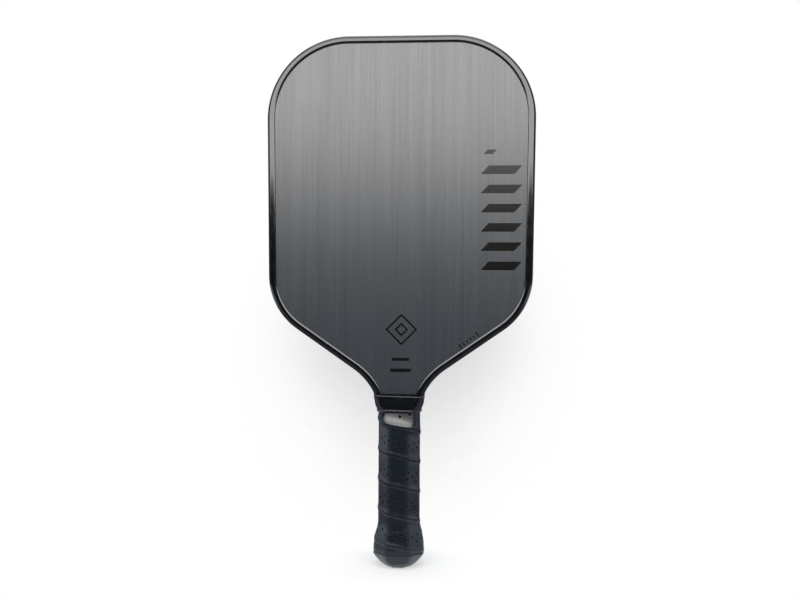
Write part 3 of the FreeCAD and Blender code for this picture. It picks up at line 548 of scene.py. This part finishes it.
# and their facets widen: height, extra half length
FACET_GAIN = smooth_table([
    (30.0, 0.0), (103.0, 0.0), (107.0, 4.0), (109.0, 6.0), (112.5, 6.0), (115.6, 3.2), (140.0, 3.6),
], step=0.5, passes=5)


def handle_section(z, lean=0.0):
    """Half width, half depth, facet half length and side half length of the surface under the
    grip. lean shifts the bend in height, following the slant of the last lap; the bend is level
    again under the tape."""
    flare_w, flare_d = look_up(SKIRT, z)
    bend_z = z + lean * (1 - smoothstep(110.0, 115.5, z))
    inward = look_up(RAMP, bend_z)[0]
    gain = look_up(FACET_GAIN, bend_z)[0]
    return (HANDLE_HALF_W + flare_w, HANDLE_HALF_D + flare_d - inward,
            FACET_HALF + 0.4 * flare_w + gain, SIDE_HALF + 0.4 * flare_d)


def octagon_points(section, corner_r, s, height, lengths):
    """Points on a rounded octagon.

    section: half width, half depth, facet half length, side half length (values or arrays)
    s: position along the nominal perimeter, 0 at the middle of the front facet, growing towards +X
    height: distance above the surface
    lengths: the nominal perimeter's pieces, from perimeter_pieces
    Returns x, y and the outward normal's x, y."""
    half_w, half_d, facet, side = [np.broadcast_to(np.asarray(v, float), s.shape)
                                   for v in section]
    corner_x = np.stack([facet, half_w, half_w, facet, -facet, -half_w, -half_w, -facet], 1)
    corner_y = np.stack([-half_d, -side, side, half_d, half_d, side, -side, -half_d], 1)
    # facet k runs from corner k-1 to corner k
    edge_x = corner_x - np.roll(corner_x, 1, 1)
    edge_y = corner_y - np.roll(corner_y, 1, 1)
    edge_length = np.hypot(edge_x, edge_y)
    normal_x, normal_y = edge_y / edge_length, -edge_x / edge_length
    next_x, next_y = np.roll(normal_x, -1, 1), np.roll(normal_y, -1, 1)
    dot = normal_x * next_x + normal_y * next_y
    corner_r = np.broadcast_to(np.asarray(corner_r, float), s.shape)[:, None]
    center_x = corner_x - (normal_x + next_x) * corner_r / (1 + dot)
    center_y = corner_y - (normal_y + next_y) * corner_r / (1 + dot)
    # even segments are facets, odd ones the corners after them
    travel = np.mod(s + lengths[0] / 2, float(sum(lengths)))
    starts = np.concatenate([[0.0], np.cumsum(lengths)])
    segment = np.clip(np.searchsorted(starts, travel, side="right") - 1, 0, 15)
    fraction = (travel - starts[segment]) / np.array(lengths)[segment]
    k = segment // 2
    before = (k - 1) % 8
    row = np.arange(len(s))
    radius = corner_r[:, 0] + height
    facet_nx, facet_ny = normal_x[row, k], normal_y[row, k]
    facet_x = (center_x[row, before] * (1 - fraction) + center_x[row, k] * fraction
               + facet_nx * radius)
    facet_y = (center_y[row, before] * (1 - fraction) + center_y[row, k] * fraction
               + facet_ny * radius)
    start = np.arctan2(facet_ny, facet_nx)
    end = np.arctan2(next_y[row, k], next_x[row, k])
    turn = np.mod(end - start + math.pi, 2 * math.pi) - math.pi
    angle = start + turn * fraction
    arc_nx, arc_ny = np.cos(angle), np.sin(angle)
    in_corner = (segment % 2) == 1
    return (np.where(in_corner, center_x[row, k] + arc_nx * radius, facet_x),
            np.where(in_corner, center_y[row, k] + arc_ny * radius, facet_y),
            np.where(in_corner, arc_nx, facet_nx),
            np.where(in_corner, arc_ny, facet_ny))


def perimeter_pieces(section, corner_r, height):
    """Lengths of facet 0, corner 0, facet 1, corner 1 ... of one rounded octagon."""
    half_w, half_d, facet, side = section
    corners = [(facet, -half_d), (half_w, -side), (half_w, side), (facet, half_d),
               (-facet, half_d), (-half_w, side), (-half_w, -side), (-facet, -half_d)]
    turns = []
    for k in range(8):
        before, here, after = corners[k - 1], corners[k], corners[(k + 1) % 8]
        in_x, in_y = here[0] - before[0], here[1] - before[1]
        out_x, out_y = after[0] - here[0], after[1] - here[1]
        turns.append(math.atan2(in_x * out_y - in_y * out_x, in_x * out_x + in_y * out_y))
    pieces = []
    for k in range(8):
        start, end = corners[k - 1], corners[k]
        lost = corner_r * (math.tan(turns[k - 1] / 2) + math.tan(turns[k] / 2))
        pieces += [math.hypot(end[0] - start[0], end[1] - start[1]) - lost,
                   (corner_r + height) * turns[k]]
    return pieces


HANDLE_PIECES = perimeter_pieces((HANDLE_HALF_W, HANDLE_HALF_D, FACET_HALF, SIDE_HALF),
                                 CORNER_R, RIBBON_H)
HANDLE_ROUND = sum(HANDLE_PIECES)


def flared_corner_r(z):
    """The flared part is moulded softer, so its corners are rounder."""
    return CORNER_R + 0.6 * smoothstep(30, 18, z)


def handle_points(s, z, height):
    corner_r = flared_corner_r(z) + 2.0 * smoothstep(103, 108, z) * smoothstep(117.0, 113.5, z)
    from_front = np.mod(s + HANDLE_ROUND / 2, HANDLE_ROUND) - HANDLE_ROUND / 2
    lean = LAP_SLANT * from_front * smoothstep(30, 17, np.abs(from_front))
    x, y, _, _ = octagon_points(handle_section(z, lean), corner_r, s, height, HANDLE_PIECES)
    return np.stack([x, y, z], 1)


# =====================================================================================================
# Grip: one perforated ribbon wound from the butt upwards, each turn lapping the one below it
# =====================================================================================================
RISE_ANGLE = math.atan(PITCH / HANDLE_ROUND)
RISE_COS = math.cos(RISE_ANGLE)
RISE_SIN = math.sin(RISE_ANGLE)
# mesh rows across the ribbon, as distances from its lower edge
RIBBON_ROWS = [
    0.0, 0.12, 0.38, 0.8, 1.5, 2.3, 3.0, 3.7, 4.5, 5.6, 7.1, 8.4, 9.7, 11.0, 12.3, 13.6, 14.9, 16.4,
    18.0, 19.4, 20.5, 21.2, 21.9, 22.8, 24.4, 26.0]
HOLE_ROWS = (8.4, 11.0, 13.6)
HOLE_SPACING = 8             # mesh columns, about a millimetre each
# the three tables below: distance from the ribbon's lower edge, height over the handle
RIBBON_OUTSIDE = [
    (0.0, 1.42), (0.12, 1.50), (0.38, 1.60), (0.8, 1.72), (1.5, 1.85), (2.3, 1.92), (3.0, 1.81),
    (3.7, 1.635), (4.5, 1.51), (5.6, 1.44), (7.1, RIBBON_H), (20.5, RIBBON_H), (21.2, 1.41),
    (21.9, 1.36), (22.8, 1.22), (24.4, 0.90), (26.0, 0.45)]
RIBBON_UNDERSIDE = [(0.0, 1.39), (0.93, 1.25), (2.53, 0.93), (4.13, 0.48), (4.8, 0.04), (26.0, 0.03)]
# what the last visible lap adds, lying over the skived tail
LAST_LAP_EXTRA = [(0, 0.05), (0.4, 0.12), (1.2, 0.20), (3.0, 0.26), (5.0, 0.22), (7.5, 0.10),
                  (9.5, 0.0), (26.0, -0.05)]
# the wall of a hole, outside in: radius, height over the ribbon's surface
HOLE_RINGS = ((0.80, 0.0), (0.68, -0.06), (0.60, -0.20), (0.54, -0.62))
# rings from this one inwards, and the bottoms of the holes, take the dark material of painted shade
FIRST_SHADED_RING = 2
# steps to the eight grid points round a hole
AROUND = [(-1, -1), (0, -1), (1, -1), (1, 0), (1, 1), (0, 1), (-1, 1), (-1, 0)]


def ribbon_place(along, across):
    """Perimeter position and height of a point of the ribbon."""
    return (-along * RISE_COS + across * RISE_SIN,
            RIBBON_Z0 + along * RISE_SIN + across * RISE_COS)


def ribbon_outside(along, across):
    """Height of the ribbon's outer side over the handle."""
    _, z = ribbon_place(along, across)
    turn = (z - across * RISE_COS - RIBBON_Z0) / PITCH
    last_lap = smoothstep(4.55, 4.8, turn) * (1 - smoothstep(5.3, 5.6, turn))
    extra = look_up(LAST_LAP_EXTRA, across)[0]
    height = look_up(RIBBON_OUTSIDE, across)[0]
    height = height + last_lap * extra * smoothstep(0.0, 0.2, across)
    # gentle unevenness of a hand-wound grip
    height = height + 0.035 * hash_noise(along / 9.0 + across * 0.21, seed=1.0)
    return height + 0.03 * hash_noise(across / 5.0 + along * 0.05, seed=2.0)


def trim_ribbon(mesh):
    """Cut the ribbon level at both ends of the grip and fill the cuts."""
    bm = bmesh.new()
    bm.from_mesh(mesh)
    for z_cut, outward in ((WRAP_LOW, -1.0), (WRAP_TOP, 1.0)):
        result = bmesh.ops.bisect_plane(
            bm, geom=bm.verts[:] + bm.edges[:] + bm.faces[:], dist=1e-7,
            plane_co=(0, 0, z_cut * MM), plane_no=(0, 0, outward), clear_outer=True)
        rim = [e for e in result["geom_cut"]
               if isinstance(e, bmesh.types.BMEdge) and e.is_valid and len(e.link_faces) == 1]
        bmesh.ops.triangle_fill(bm, use_beauty=True, use_dissolve=False, edges=rim)
    bm.to_mesh(mesh)
    bm.free()


def build_grip():
    along = np.arange(-40.0, (WRAP_TOP - RIBBON_Z0) / RISE_SIN + 8.0, 1.0)
    across = np.array(RIBBON_ROWS)
    n_along, n_across = len(along), len(across)
    along_grid, across_grid = np.meshgrid(along, across, indexing="ij")
    waver = 0.16 * hash_noise(along_grid / 14.0, seed=3.0) * smoothstep(6, 0, across_grid)
    outside = ribbon_outside(along_grid, across_grid)
    underside = np.minimum(look_up(RIBBON_UNDERSIDE, across_grid)[0], outside - 0.02)
    # (along, across, height) of every vertex: the outer grid, the inner grid, then the holes
    points = []
    for height in (outside, underside):
        points += list(np.stack([along_grid, across_grid + waver, height], -1).reshape(-1, 3))
    top = np.arange(along_grid.size).reshape(along_grid.shape)
    low = top + top.size

    holes = []
    for number, position in enumerate(HOLE_ROWS):
        j = RIBBON_ROWS.index(position)
        offset = HOLE_SPACING // 2 if number == 1 else 0
        holes += [(i, j) for i in range(1, n_along - 1) if (i + offset) % HOLE_SPACING == 0]
    open_quads = {(i + di, j + dj) for i, j in holes for di in (-1, 0) for dj in (-1, 0)}

    faces = []
    for i in range(n_along - 1):
        for j in range(n_across - 1):
            if (i, j) not in open_quads:
                faces.append((top[i, j], top[i + 1, j], top[i + 1, j + 1], top[i, j + 1]))
            faces.append((low[i, j], low[i, j + 1], low[i + 1, j + 1], low[i + 1, j]))
    for i in range(n_along - 1):                        # long edges
        faces.append((low[i, 0], low[i + 1, 0], top[i + 1, 0], top[i, 0]))
        faces.append((top[i, -1], top[i + 1, -1], low[i + 1, -1], low[i, -1]))
    for j in range(n_across - 1):                       # ends
        faces.append((top[0, j], top[0, j + 1], low[0, j + 1], low[0, j]))
        faces.append((low[-1, j], low[-1, j + 1], top[-1, j + 1], top[-1, j]))
    dark = set()
    for i, j in holes:
        previous = [top[i + di, j + dj] for di, dj in AROUND]
        for level, (radius, rise) in enumerate(HOLE_RINGS):
            ring = []
            for di, dj in AROUND:
                reach = math.hypot(di, dj)
                ring.append(len(points))
                points.append((along[i] + radius * di / reach, across[j] + radius * dj / reach,
                               outside[i, j] + rise))
            for q in range(8):
                p = (q + 1) % 8
                if level >= FIRST_SHADED_RING:
                    dark.add(len(faces))
                faces.append((previous[q], previous[p], ring[p], ring[q]))
            previous = ring
        dark.add(len(faces))
        faces.append(tuple(previous))

    # the grid points in the middle of the holes are left out
    used = sorted({v for face in faces for v in face})
    new_index = {v: k for k, v in enumerate(used)}
    point_along, point_across, height = np.array([points[v] for v in used], float).T
    s, z = ribbon_place(point_along, point_across)
    obj = mesh_object("grip_ribbon", handle_points(s, z, height),
                      [tuple(new_index[v] for v in face) for face in faces])
    # faces deep in the holes (the set dark) get the second material, painted shade
    obj.data.polygons.foreach_set("material_index",
                                  [1 if k in dark else 0 for k in range(len(faces))])
    trim_ribbon(obj.data)
    finish_mesh(obj, [GRIP, HOLE_SHADE], sharp_deg=55, merge=False)
    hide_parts("grip_wrap")


build_grip()

# =====================================================================================================
# Finishing tape: glossy turns that lap down from the blade onto the grip
# =====================================================================================================
# the surface the tape lies on: height, half width, half depth, facet half length, side half length
TAPE_BASE = smooth_table([
    (TAPE_LOW - 0.2, 15.94, 12.27, 9.8, 6.1), (117.4, 15.98, 12.06, 10.2, 6.1),
    (118.7, 16.35, 11.88, 11.4, 6.4), (120.2, 17.05, 11.68, 13.2, 6.9),
    (121.7, 17.6, 11.48, 14.2, 7.2), (124.8, 18.0, 11.06, 15.4, 7.5),
    (127.8, 18.6, 10.65, 16.7, 7.8), (TAPE_TOP + 0.2, 19.05, 10.38, 17.5, 7.9),
], step=0.3, passes=2)
TAPE_NOMINAL = (17.6, 10.8, 14.0, 7.1)   # the section that sets the spacing of the columns
TAPE_CORNER_R = 1.5
TAPE_COLUMNS = 260
UPPER_STEP_Z = 127.8                     # steps between the turns
LOWER_STEP_Z = 117.5


def tape_levels():
    """Heights of the mesh rows, closer together at the steps between the turns."""
    levels = {TAPE_TOP, *np.round(np.arange(TAPE_LOW, TAPE_TOP + 0.01, 0.4), 3)}
    for step_z, reach in ((UPPER_STEP_Z, 1.2), (LOWER_STEP_Z, 0.8)):
        levels.update(round(float(z), 3)
                      for z in np.arange(step_z - reach, step_z + reach + 0.01, 0.1))
    return [z for z in sorted(levels) if TAPE_LOW <= z <= TAPE_TOP]


def tape_thickness(s, z, total):
    """Each step slants a little round the handle and thickens the tape below it."""
    angle = s / total * 2 * math.pi
    upper = UPPER_STEP_Z + (-0.42 * np.sin(angle) + 0.08 * hash_noise(s / 11.0, seed=5.0))
    lower = LOWER_STEP_Z + (-0.20 * np.sin(angle + 0.3) + 0.08 * hash_noise(s / 10.0, seed=7.0))
    thickness = 0.10 + 0.42 * smoothstep(upper + 0.16, upper - 0.16, z)
    thickness = thickness + 0.30 * smoothstep(lower + 0.20, lower - 0.20, z)
    # the lowest turn is pulled in at its lower edge
    return thickness - 0.40 * smoothstep(TAPE_LOW + 0.5, TAPE_LOW, z) ** 1.5


def build_tape():
    pieces = perimeter_pieces(TAPE_NOMINAL, TAPE_CORNER_R, 0.4)
    total = sum(pieces)
    levels = tape_levels()
    columns = np.linspace(0, total, TAPE_COLUMNS, endpoint=False)
    z, s = [grid.ravel() for grid in np.meshgrid(np.array(levels), columns, indexing="ij")]
    section = look_up(TAPE_BASE, z)
    x, y, normal_x, normal_y = octagon_points(section, TAPE_CORNER_R, s,
                                              tape_thickness(s, z, total), pieces)
    # between the two lips of the guard the tape sinks towards the face
    sag = 0.10 * smoothstep(13.0, 8.0, np.abs(x)) * smoothstep(119.0, 129.5, z)
    y = y + np.where(y < 0, sag, -sag)
    wrinkle = (0.05 * hash_noise(s / 4.0 + z * 0.2, seed=8.0)
               * smoothstep(TAPE_LOW, TAPE_LOW + 2, z))
    outer = np.stack([x + normal_x * wrinkle, y + normal_y * wrinkle, z], 1)
    inner_x, inner_y, _, _ = octagon_points(section, TAPE_CORNER_R, s, 0.0, pieces)
    inner_y = inner_y + np.where(inner_y < 0, sag, -sag)
    inner = np.stack([inner_x, inner_y, z], 1)

    rows, offset = len(levels), len(outer)
    faces = grid_faces(rows, TAPE_COLUMNS)
    faces += [tuple(v + offset for v in face)
              for face in grid_faces(rows, TAPE_COLUMNS, flip=True)]
    for row in (0, rows - 1):                           # the lower and upper rims
        for j in range(TAPE_COLUMNS):
            a = row * TAPE_COLUMNS + j
            b = row * TAPE_COLUMNS + (j + 1) % TAPE_COLUMNS
            face = (a, b, b + offset, a + offset)
            faces.append(face if row == 0 else tuple(reversed(face)))
    obj = make_object("finishing_tape_turns", np.concatenate([outer, inner]), faces, TAPE,
                      sharp_deg=60)
    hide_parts("finishing_tape")


build_tape()

# =====================================================================================================
# Butt cap: moulded foot with its wide rounded edge, and the flared skirt under the grip
# =====================================================================================================
# height, share of the foot's full width, share of its full depth
FOOT = smooth_table([
    (0.0, 0.47, 0.58), (0.5, 0.515, 0.66), (1.5, 0.585, 0.775), (2.9, 0.68, 0.88),
    (4.5, 0.775, 0.95), (6.1, 0.855, 0.98), (7.7, 0.925, 0.993), (9.0, 0.965, 0.998),
    (10.2, 1.0, 1.0)], step=0.1, passes=12)
# half width, half depth, facet half length, side half length
FOOT_SECTION = (19.1, 17.4, 8.3, 7.1)
PLUG_SECTION = (9.0, 7.2, 3.9, 2.9)      # gives only the directions of the points of a circle
CAP_COLUMNS = 192
LEDGE_Z = 10.2
CAP_FLOOR_Z = 5.0                        # floor of the pocket for the handle


def build_cap():
    columns = np.linspace(0, HANDLE_ROUND, CAP_COLUMNS, endpoint=False)
    rings = []

    def add_ring(section, corner_r, z, circle_r=None):
        x, y, _, _ = octagon_points(section, corner_r, columns, 0.0, HANDLE_PIECES)
        scale = 1.0 if circle_r is None else circle_r / np.hypot(x, y)
        rings.append(np.stack([x * scale, y * scale, np.full(CAP_COLUMNS, z)], 1))

    # the plug's seat, from its middle out to the flat end
    for radius, z in ((0.02, PLUG_DEPTH), (PLUG_SEAT_R - 0.1, PLUG_DEPTH),
                      (PLUG_SEAT_R, PLUG_DEPTH - 0.1), (PLUG_SEAT_R, 0.12),
                      (PLUG_SEAT_R + 0.12, 0.0)):
        add_ring(PLUG_SECTION, 2.4, z, circle_r=radius)
    # the foot
    half_w, half_d, facet, side = FOOT_SECTION
    for z in list(np.arange(0.0, 0.6, 0.1)) + list(np.arange(0.6, 10.01, 0.3)):
        wide, deep = look_up(FOOT, z)
        add_ring((half_w * wide, half_d * deep, facet * wide, side * deep),
                 2.2 + 1.2 * z / 10.0 + 3.4 * math.sin(math.pi * z / 10.0), z)
    # the ledge that the grip's lower edge sits on has a small rolled lip
    add_ring(FOOT_SECTION, 3.4, LEDGE_Z - 0.08)
    add_ring((half_w - 0.12, half_d - 0.12, facet - 0.05, side - 0.05), 3.4, LEDGE_Z)
    add_ring((half_w - 1.5, half_d - 1.5, facet - 0.6, side - 0.6), 3.0, LEDGE_Z)
    # the skirt, just inside the grip
    for z in np.arange(10.4, CAP_TOP + 0.001, 0.8):
        skirt_w, skirt_d, skirt_facet, skirt_side = handle_section(z)
        add_ring((skirt_w - 0.06, skirt_d - 0.06, skirt_facet, skirt_side),
                 flared_corner_r(z), z)

    # over the rim and down inside: clearance of width and depth, of the facets, corner radius, height
    for gap, facet_gap, corner_r, z in ((0.06, 0.02, CORNER_R, CAP_TOP),
                                        (0.03, 0.01, 0.4, CAP_TOP - 0.2),
                                        (0.03, 0.01, 0.4, CAP_FLOOR_Z)):
        add_ring((HANDLE_HALF_W + gap, HANDLE_HALF_D + gap, FACET_HALF + facet_gap,
                  SIDE_HALF + facet_gap), corner_r, z)
    add_ring((1.0, 1.0, 0.42, 0.42), 0.05, CAP_FLOOR_Z)
    faces = grid_faces(len(rings), CAP_COLUMNS) + end_faces(len(rings), CAP_COLUMNS)
    obj = make_object("butt_cap_moulded", np.concatenate(rings), faces, CAP, sharp_deg=50)
    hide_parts("butt_cap")


build_cap()

# =====================================================================================================
# Printed marks: plain bars, a plain rhombus and ticks, as thin films of ink on both faces
# =====================================================================================================
FILM_BOTTOM = SKIN + 0.003
FILM_TOP = SKIN + 0.022


def film(name, polygons, side):
    """polygons: lists of (x, z) as seen from that side; each becomes one closed film."""
    verts, faces = [], []
    for polygon in polygons:
        n, base = len(polygon), len(verts)
        for y in (FILM_BOTTOM * side, FILM_TOP * side):
            verts += [(-side * x, y, z) for x, z in polygon]
        faces.append(tuple(range(base, base + n)))
        faces.append(tuple(reversed(range(base + n, base + 2 * n))))
        for k in range(n):
            a, b = base + k, base + (k + 1) % n
            faces.append((a, a + n, b + n, b))
    make_object(name, verts, faces, INK)


def bar(x, z, width, height, slant=0.0):
    """A bar centred on (x, z), its top shifted towards the right by slant."""
    half_w, half_h, shift = width / 2, height / 2, slant / 2
    return [(x - half_w - shift, z - half_h), (x + half_w - shift, z - half_h),
            (x + half_w + shift, z + half_h), (x - half_w + shift, z + half_h)]


def rhombus(x, z, radius, stroke):
    """A rhombus outline as four separate mitred strokes."""
    outer = [(x, z + radius), (x + radius, z), (x, z - radius), (x - radius, z)]
    shrink = 1 - stroke * math.hypot(radius, radius) / (radius * radius)
    inner = [(x + (px - x) * shrink, z + (pz - z) * shrink) for px, pz in outer]
    return [[outer[i], outer[(i + 1) % 4], inner[(i + 1) % 4], inner[i]] for i in range(4)]


def edge_ticks():
    """A rising row of short ticks, the first and the last one longer."""
    start, angle, spacing, half_width = (46.0, 165.5), math.radians(36), 3.1, 0.45
    along = np.array([math.cos(angle), math.sin(angle)])
    across = np.array([-along[1], along[0]])
    ticks = []
    for k in range(6):
        center = np.array(start) + along * (spacing * k)
        reach = across * (2.2 if k in (0, 5) else 1.3)
        half = along * half_width
        ticks.append([tuple(p) for p in (center + half - reach, center + half + reach,
                                         center - half + reach, center - half - reach)])
    return ticks


MARKS = {
    # a tall column of slanted bars up the right-hand side
    "stripe_column": [bar(x=76.0, z=226.0 + 14.4 * k, width=25.0, height=6.4, slant=6.0)
                      for k in range(6)]
    + [bar(x=67.5, z=311.5, width=7.0, height=3.4, slant=3.2)],
    "rhombus_mark": rhombus(x=1.5, z=178.0, radius=12.0, stroke=1.3)
    + rhombus(x=1.5, z=178.0, radius=5.2, stroke=1.3),
    "small_bars": [bar(x=1.0, z=155.6, width=13.0, height=2.2),
                   bar(x=1.0, z=147.3, width=15.6, height=2.6)],
    # beside the lower right edge
    "edge_ticks": edge_ticks(),
}
for side_name, side_sign in (("front", FRONT), ("back", BACK)):
    for mark_name, mark in MARKS.items():
        film(mark_name + "_" + side_name, mark, side_sign)

# =====================================================================================================
# Studio: pale floor and backdrop, white surround, soft light
# =====================================================================================================
BACKDROP_Y = 62
ENV_TINT = (0.74, 0.88, 1.0, 1.0)
ENV_BASE = 0.03              # strength of the surround everywhere
SIDE_SPAN = (0.60, 0.98)     # |x| of the direction over which the side glow comes in
SIDE_GLOW = 0.30
REAR_GLOW = 1.3
# front softbox, in metres: height of its lower and upper edges
BOX_LOW = 0.392
BOX_TOP = 0.80
COOL = (0.84, 0.93, 1.0)


def radial_fade(m, center, span):
    """1 near the given point (mm), 0 beyond the span. Also returns the geometry node."""
    geometry = m.node("NewGeometry")
    distance = m.node("VectorMath", {0: geometry.outputs["Position"],
                                     1: [c * MM for c in center]}, operation="DISTANCE")
    fade = m.remap(distance.outputs["Value"], span=(span[0] * MM, span[1] * MM), to=(1.0, 0.0),
                   smooth=True)
    return fade, geometry


def studio_material(name, albedo, glow):
    """A pale glowing surface that takes the paddle's shadow. Returns the material and its shader."""
    m = NodeMaterial(name, color=(0.9, 0.9, 0.9))
    m.tree.nodes.remove(m.bsdf)
    tone = m.remap(m.noise(scale=0.02), to=(0, 1))
    color = m.mix_color(tone, low=(albedo * 0.99,) * 3, high=(albedo,) * 3)
    diffuse = m.node("BsdfDiffuse", {"Color": color})
    emission = m.node("Emission", {"Strength": glow})
    return m, m.node("AddShader", {0: diffuse.outputs[0], 1: emission.outputs[0]}).outputs[0]


def set_surface(m, shader):
    m.tree.links.new(shader, m.tree.nodes["Material Output"].inputs["Surface"])
    return m.material


def floor_material():
    """Goes to plain white away from the paddle; seen from below, it is clear."""
    m, lit = studio_material("floor", albedo=0.28, glow=0.50)
    fade, geometry = radial_fade(m, center=(0, 0, 0), span=(21, 62))
    white = m.node("Emission", {"Strength": 1.0}).outputs[0]
    seen = m.mix_shader(fade, white, lit)
    # what everything but the camera meets: pale near the paddle, darker further out, a painted pool of
    # light that the foot reflects
    near, _ = radial_fade(m, center=(0, 0, 0), span=(40, 130))
    bounce_color = m.mix_color(near, low=(0.20, 0.20, 0.21), high=(0.85, 0.86, 0.88))
    bounce = m.node("BsdfDiffuse", {"Color": bounce_color}).outputs[0]
    camera_ray = m.node("LightPath").outputs["Is Camera Ray"]
    above = m.mix_shader(camera_ray, bounce, seen)
    clear = m.node("BsdfTransparent").outputs[0]
    return set_surface(m, m.mix_shader(geometry.outputs["Backfacing"], above, clear))


def backdrop_material():
    """Only there for a camera that looks at its front nearly square on; fades out to clear."""
    m, lit = studio_material("backdrop", albedo=0.215, glow=0.64)
    fade, geometry = radial_fade(m, center=(0, BACKDROP_Y, 150), span=(50, 165))
    _, view_y, _ = m.xyz(geometry.outputs["Incoming"])
    square_on = m.remap(m.math("MULTIPLY", view_y, -1.0), span=(0.80, 0.93), to=(0.0, 1.0),
                        smooth=True)
    clear = m.node("BsdfTransparent").outputs[0]
    seen = m.mix_shader(m.math("MULTIPLY", fade, square_on), clear, lit)
    facing = m.math("SUBTRACT", 1.0, geometry.outputs["Backfacing"])
    camera_ray = m.math("MULTIPLY", m.node("LightPath").outputs["Is Camera Ray"], facing)
    return set_surface(m, m.mix_shader(camera_ray, clear, seen))


def stage_plane(name, corners, material):
    obj = mesh_object(name, corners, [(0, 1, 2, 3)])
    obj.data.materials.append(material)


def build_world():
    """White to the camera; to everything else dim, with glowing sides and rear (+Y)."""
    world = bpy.data.worlds.new("studio")
    scene.world = world
    world.use_nodes = True
    world.node_tree.nodes.clear()
    w = Graph(world.node_tree)
    x, y, z = w.xyz(w.node("TexCoord").outputs["Generated"])
    sides = w.remap(w.math("ABSOLUTE", x), span=SIDE_SPAN, to=(0.0, SIDE_GLOW), smooth=True)
    rear = w.math("MULTIPLY",
                  w.remap(y, span=(0.05, 0.5), to=(0.0, REAR_GLOW), smooth=True),
                  w.remap(z, span=(-0.05, 0.45), to=(0.12, 1.0), smooth=True))
    level = w.add(w.math("MAXIMUM", sides, rear), ENV_BASE)
    surround = w.node("Background", {"Color": ENV_TINT, "Strength": level}).outputs[0]
    white = w.node("Background", {"Color": (1, 1, 1, 1), "Strength": 1.0}).outputs[0]
    camera_ray = w.node("LightPath").outputs["Is Camera Ray"]
    w.node("OutputWorld", {0: w.mix_shader(camera_ray, surround, white)})


def area_light(name, location, target, width, height, radiance, color):
    data = bpy.data.lights.new(name, "AREA")
    data.shape = "RECTANGLE"
    data.size = width
    data.size_y = height
    data.energy = radiance * math.pi * width * height
    data.color = color
    data.spread = math.pi
    obj = bpy.data.objects.new(name, data)
    obj.location = location
    aim = Vector(target) - Vector(location)
    obj.rotation_euler = aim.to_track_quat("-Z", "Y").to_euler()
    obj.visible_camera = False
    scene.collection.objects.link(obj)


def build_lights():
    # softbox about as far in front as the camera, above it
    box_height = BOX_TOP - BOX_LOW
    box_z = BOX_LOW + box_height / 2
    area_light("softbox_front", location=(0, -0.72, box_z), target=(0, 0, box_z), width=1.7,
               height=box_height, radiance=7.8, color=(1.0, 0.968, 0.935))
    # low panels on both sides light the bevels of the handle
    panel_z = 0.075
    for name, sign, radiance in (("panel_left", -1, 2.2), ("panel_right", 1, 1.9)):
        area_light(name, location=(0.55 * sign, 0, panel_z), target=(0, 0, panel_z), width=0.5,
                   height=0.17, radiance=radiance, color=COOL)
        area_light(name + "_fill", location=(0.50 * sign, -0.45, panel_z),
                   target=(0, 0, panel_z), width=0.45, height=0.17, radiance=0.9, color=COOL)
    area_light("softbox_upper", location=(0, -0.66, 1.02), target=(0, -0.10, 0.80), width=1.7,
               height=0.42, radiance=4.5, color=(1.0, 0.98, 0.95))
    # and a weaker one overhead
    area_light("softbox_top", location=(0, -0.10, 1.35), target=(0, -0.10, 0.0), width=1.2,
               height=0.7, radiance=3.0, color=(0.97, 0.985, 1.0))


def build_studio():
    reach, floor_z = 4000, -0.4
    stage_plane("floor", [(-reach, -reach, floor_z), (reach, -reach, floor_z),
                          (reach, reach, floor_z), (-reach, reach, floor_z)], floor_material())
    half_w, low, high = 420, -0.3, 640
    stage_plane("backdrop", [(-half_w, BACKDROP_Y, low), (half_w, BACKDROP_Y, low),
                             (half_w, BACKDROP_Y, high), (-half_w, BACKDROP_Y, high)],
                backdrop_material())
    build_world()
    build_lights()


# =====================================================================================================
# Camera, in front of the paddle and looking towards +Y
# =====================================================================================================
FOCAL_LENGTH = 41.4
SENSOR_WIDTH = 36.0
CAMERA_YAW = math.radians(-3.87)
CAMERA_PITCH = math.radians(-0.61)
CAMERA_ROLL = math.radians(-0.33)
CAMERA_DISTANCE = 700.0
PIVOT = (0, 0, 200.0)                    # the point the camera turns about
PIVOT_SHIFT_X = 0.15                     # where the pivot lies from the middle of the view
PIVOT_SHIFT_Z = -0.25


def build_camera():
    cos, sin = math.cos, math.sin
    yaw = Matrix(((cos(CAMERA_YAW), -sin(CAMERA_YAW), 0),
                  (sin(CAMERA_YAW), cos(CAMERA_YAW), 0), (0, 0, 1)))
    pitch = Matrix(((1, 0, 0), (0, cos(CAMERA_PITCH), -sin(CAMERA_PITCH)),
                    (0, sin(CAMERA_PITCH), cos(CAMERA_PITCH))))
    roll = Matrix(((cos(CAMERA_ROLL), 0, -sin(CAMERA_ROLL)), (0, 1, 0),
                   (sin(CAMERA_ROLL), 0, cos(CAMERA_ROLL))))
    to_world = (roll @ pitch @ yaw).transposed()
    shift = Vector((-PIVOT_SHIFT_X, -CAMERA_DISTANCE, -PIVOT_SHIFT_Z))
    position = Vector(PIVOT) + to_world @ shift
    right = to_world @ Vector((1, 0, 0))
    forward = to_world @ Vector((0, 1, 0))
    up = to_world @ Vector((0, 0, 1))
    data = bpy.data.cameras.new("camera")
    data.sensor_width = SENSOR_WIDTH
    data.lens = FOCAL_LENGTH
    data.clip_start = 0.01
    camera = bpy.data.objects.new("camera", data)
    pose = Matrix.Identity(4)
    for k in range(3):
        pose[k][:] = right[k], up[k], -forward[k], position[k] * MM
    camera.matrix_world = pose
    scene.collection.objects.link(camera)
    scene.camera = camera


build_studio()
build_camera()
scene.view_settings.view_transform = "Standard"
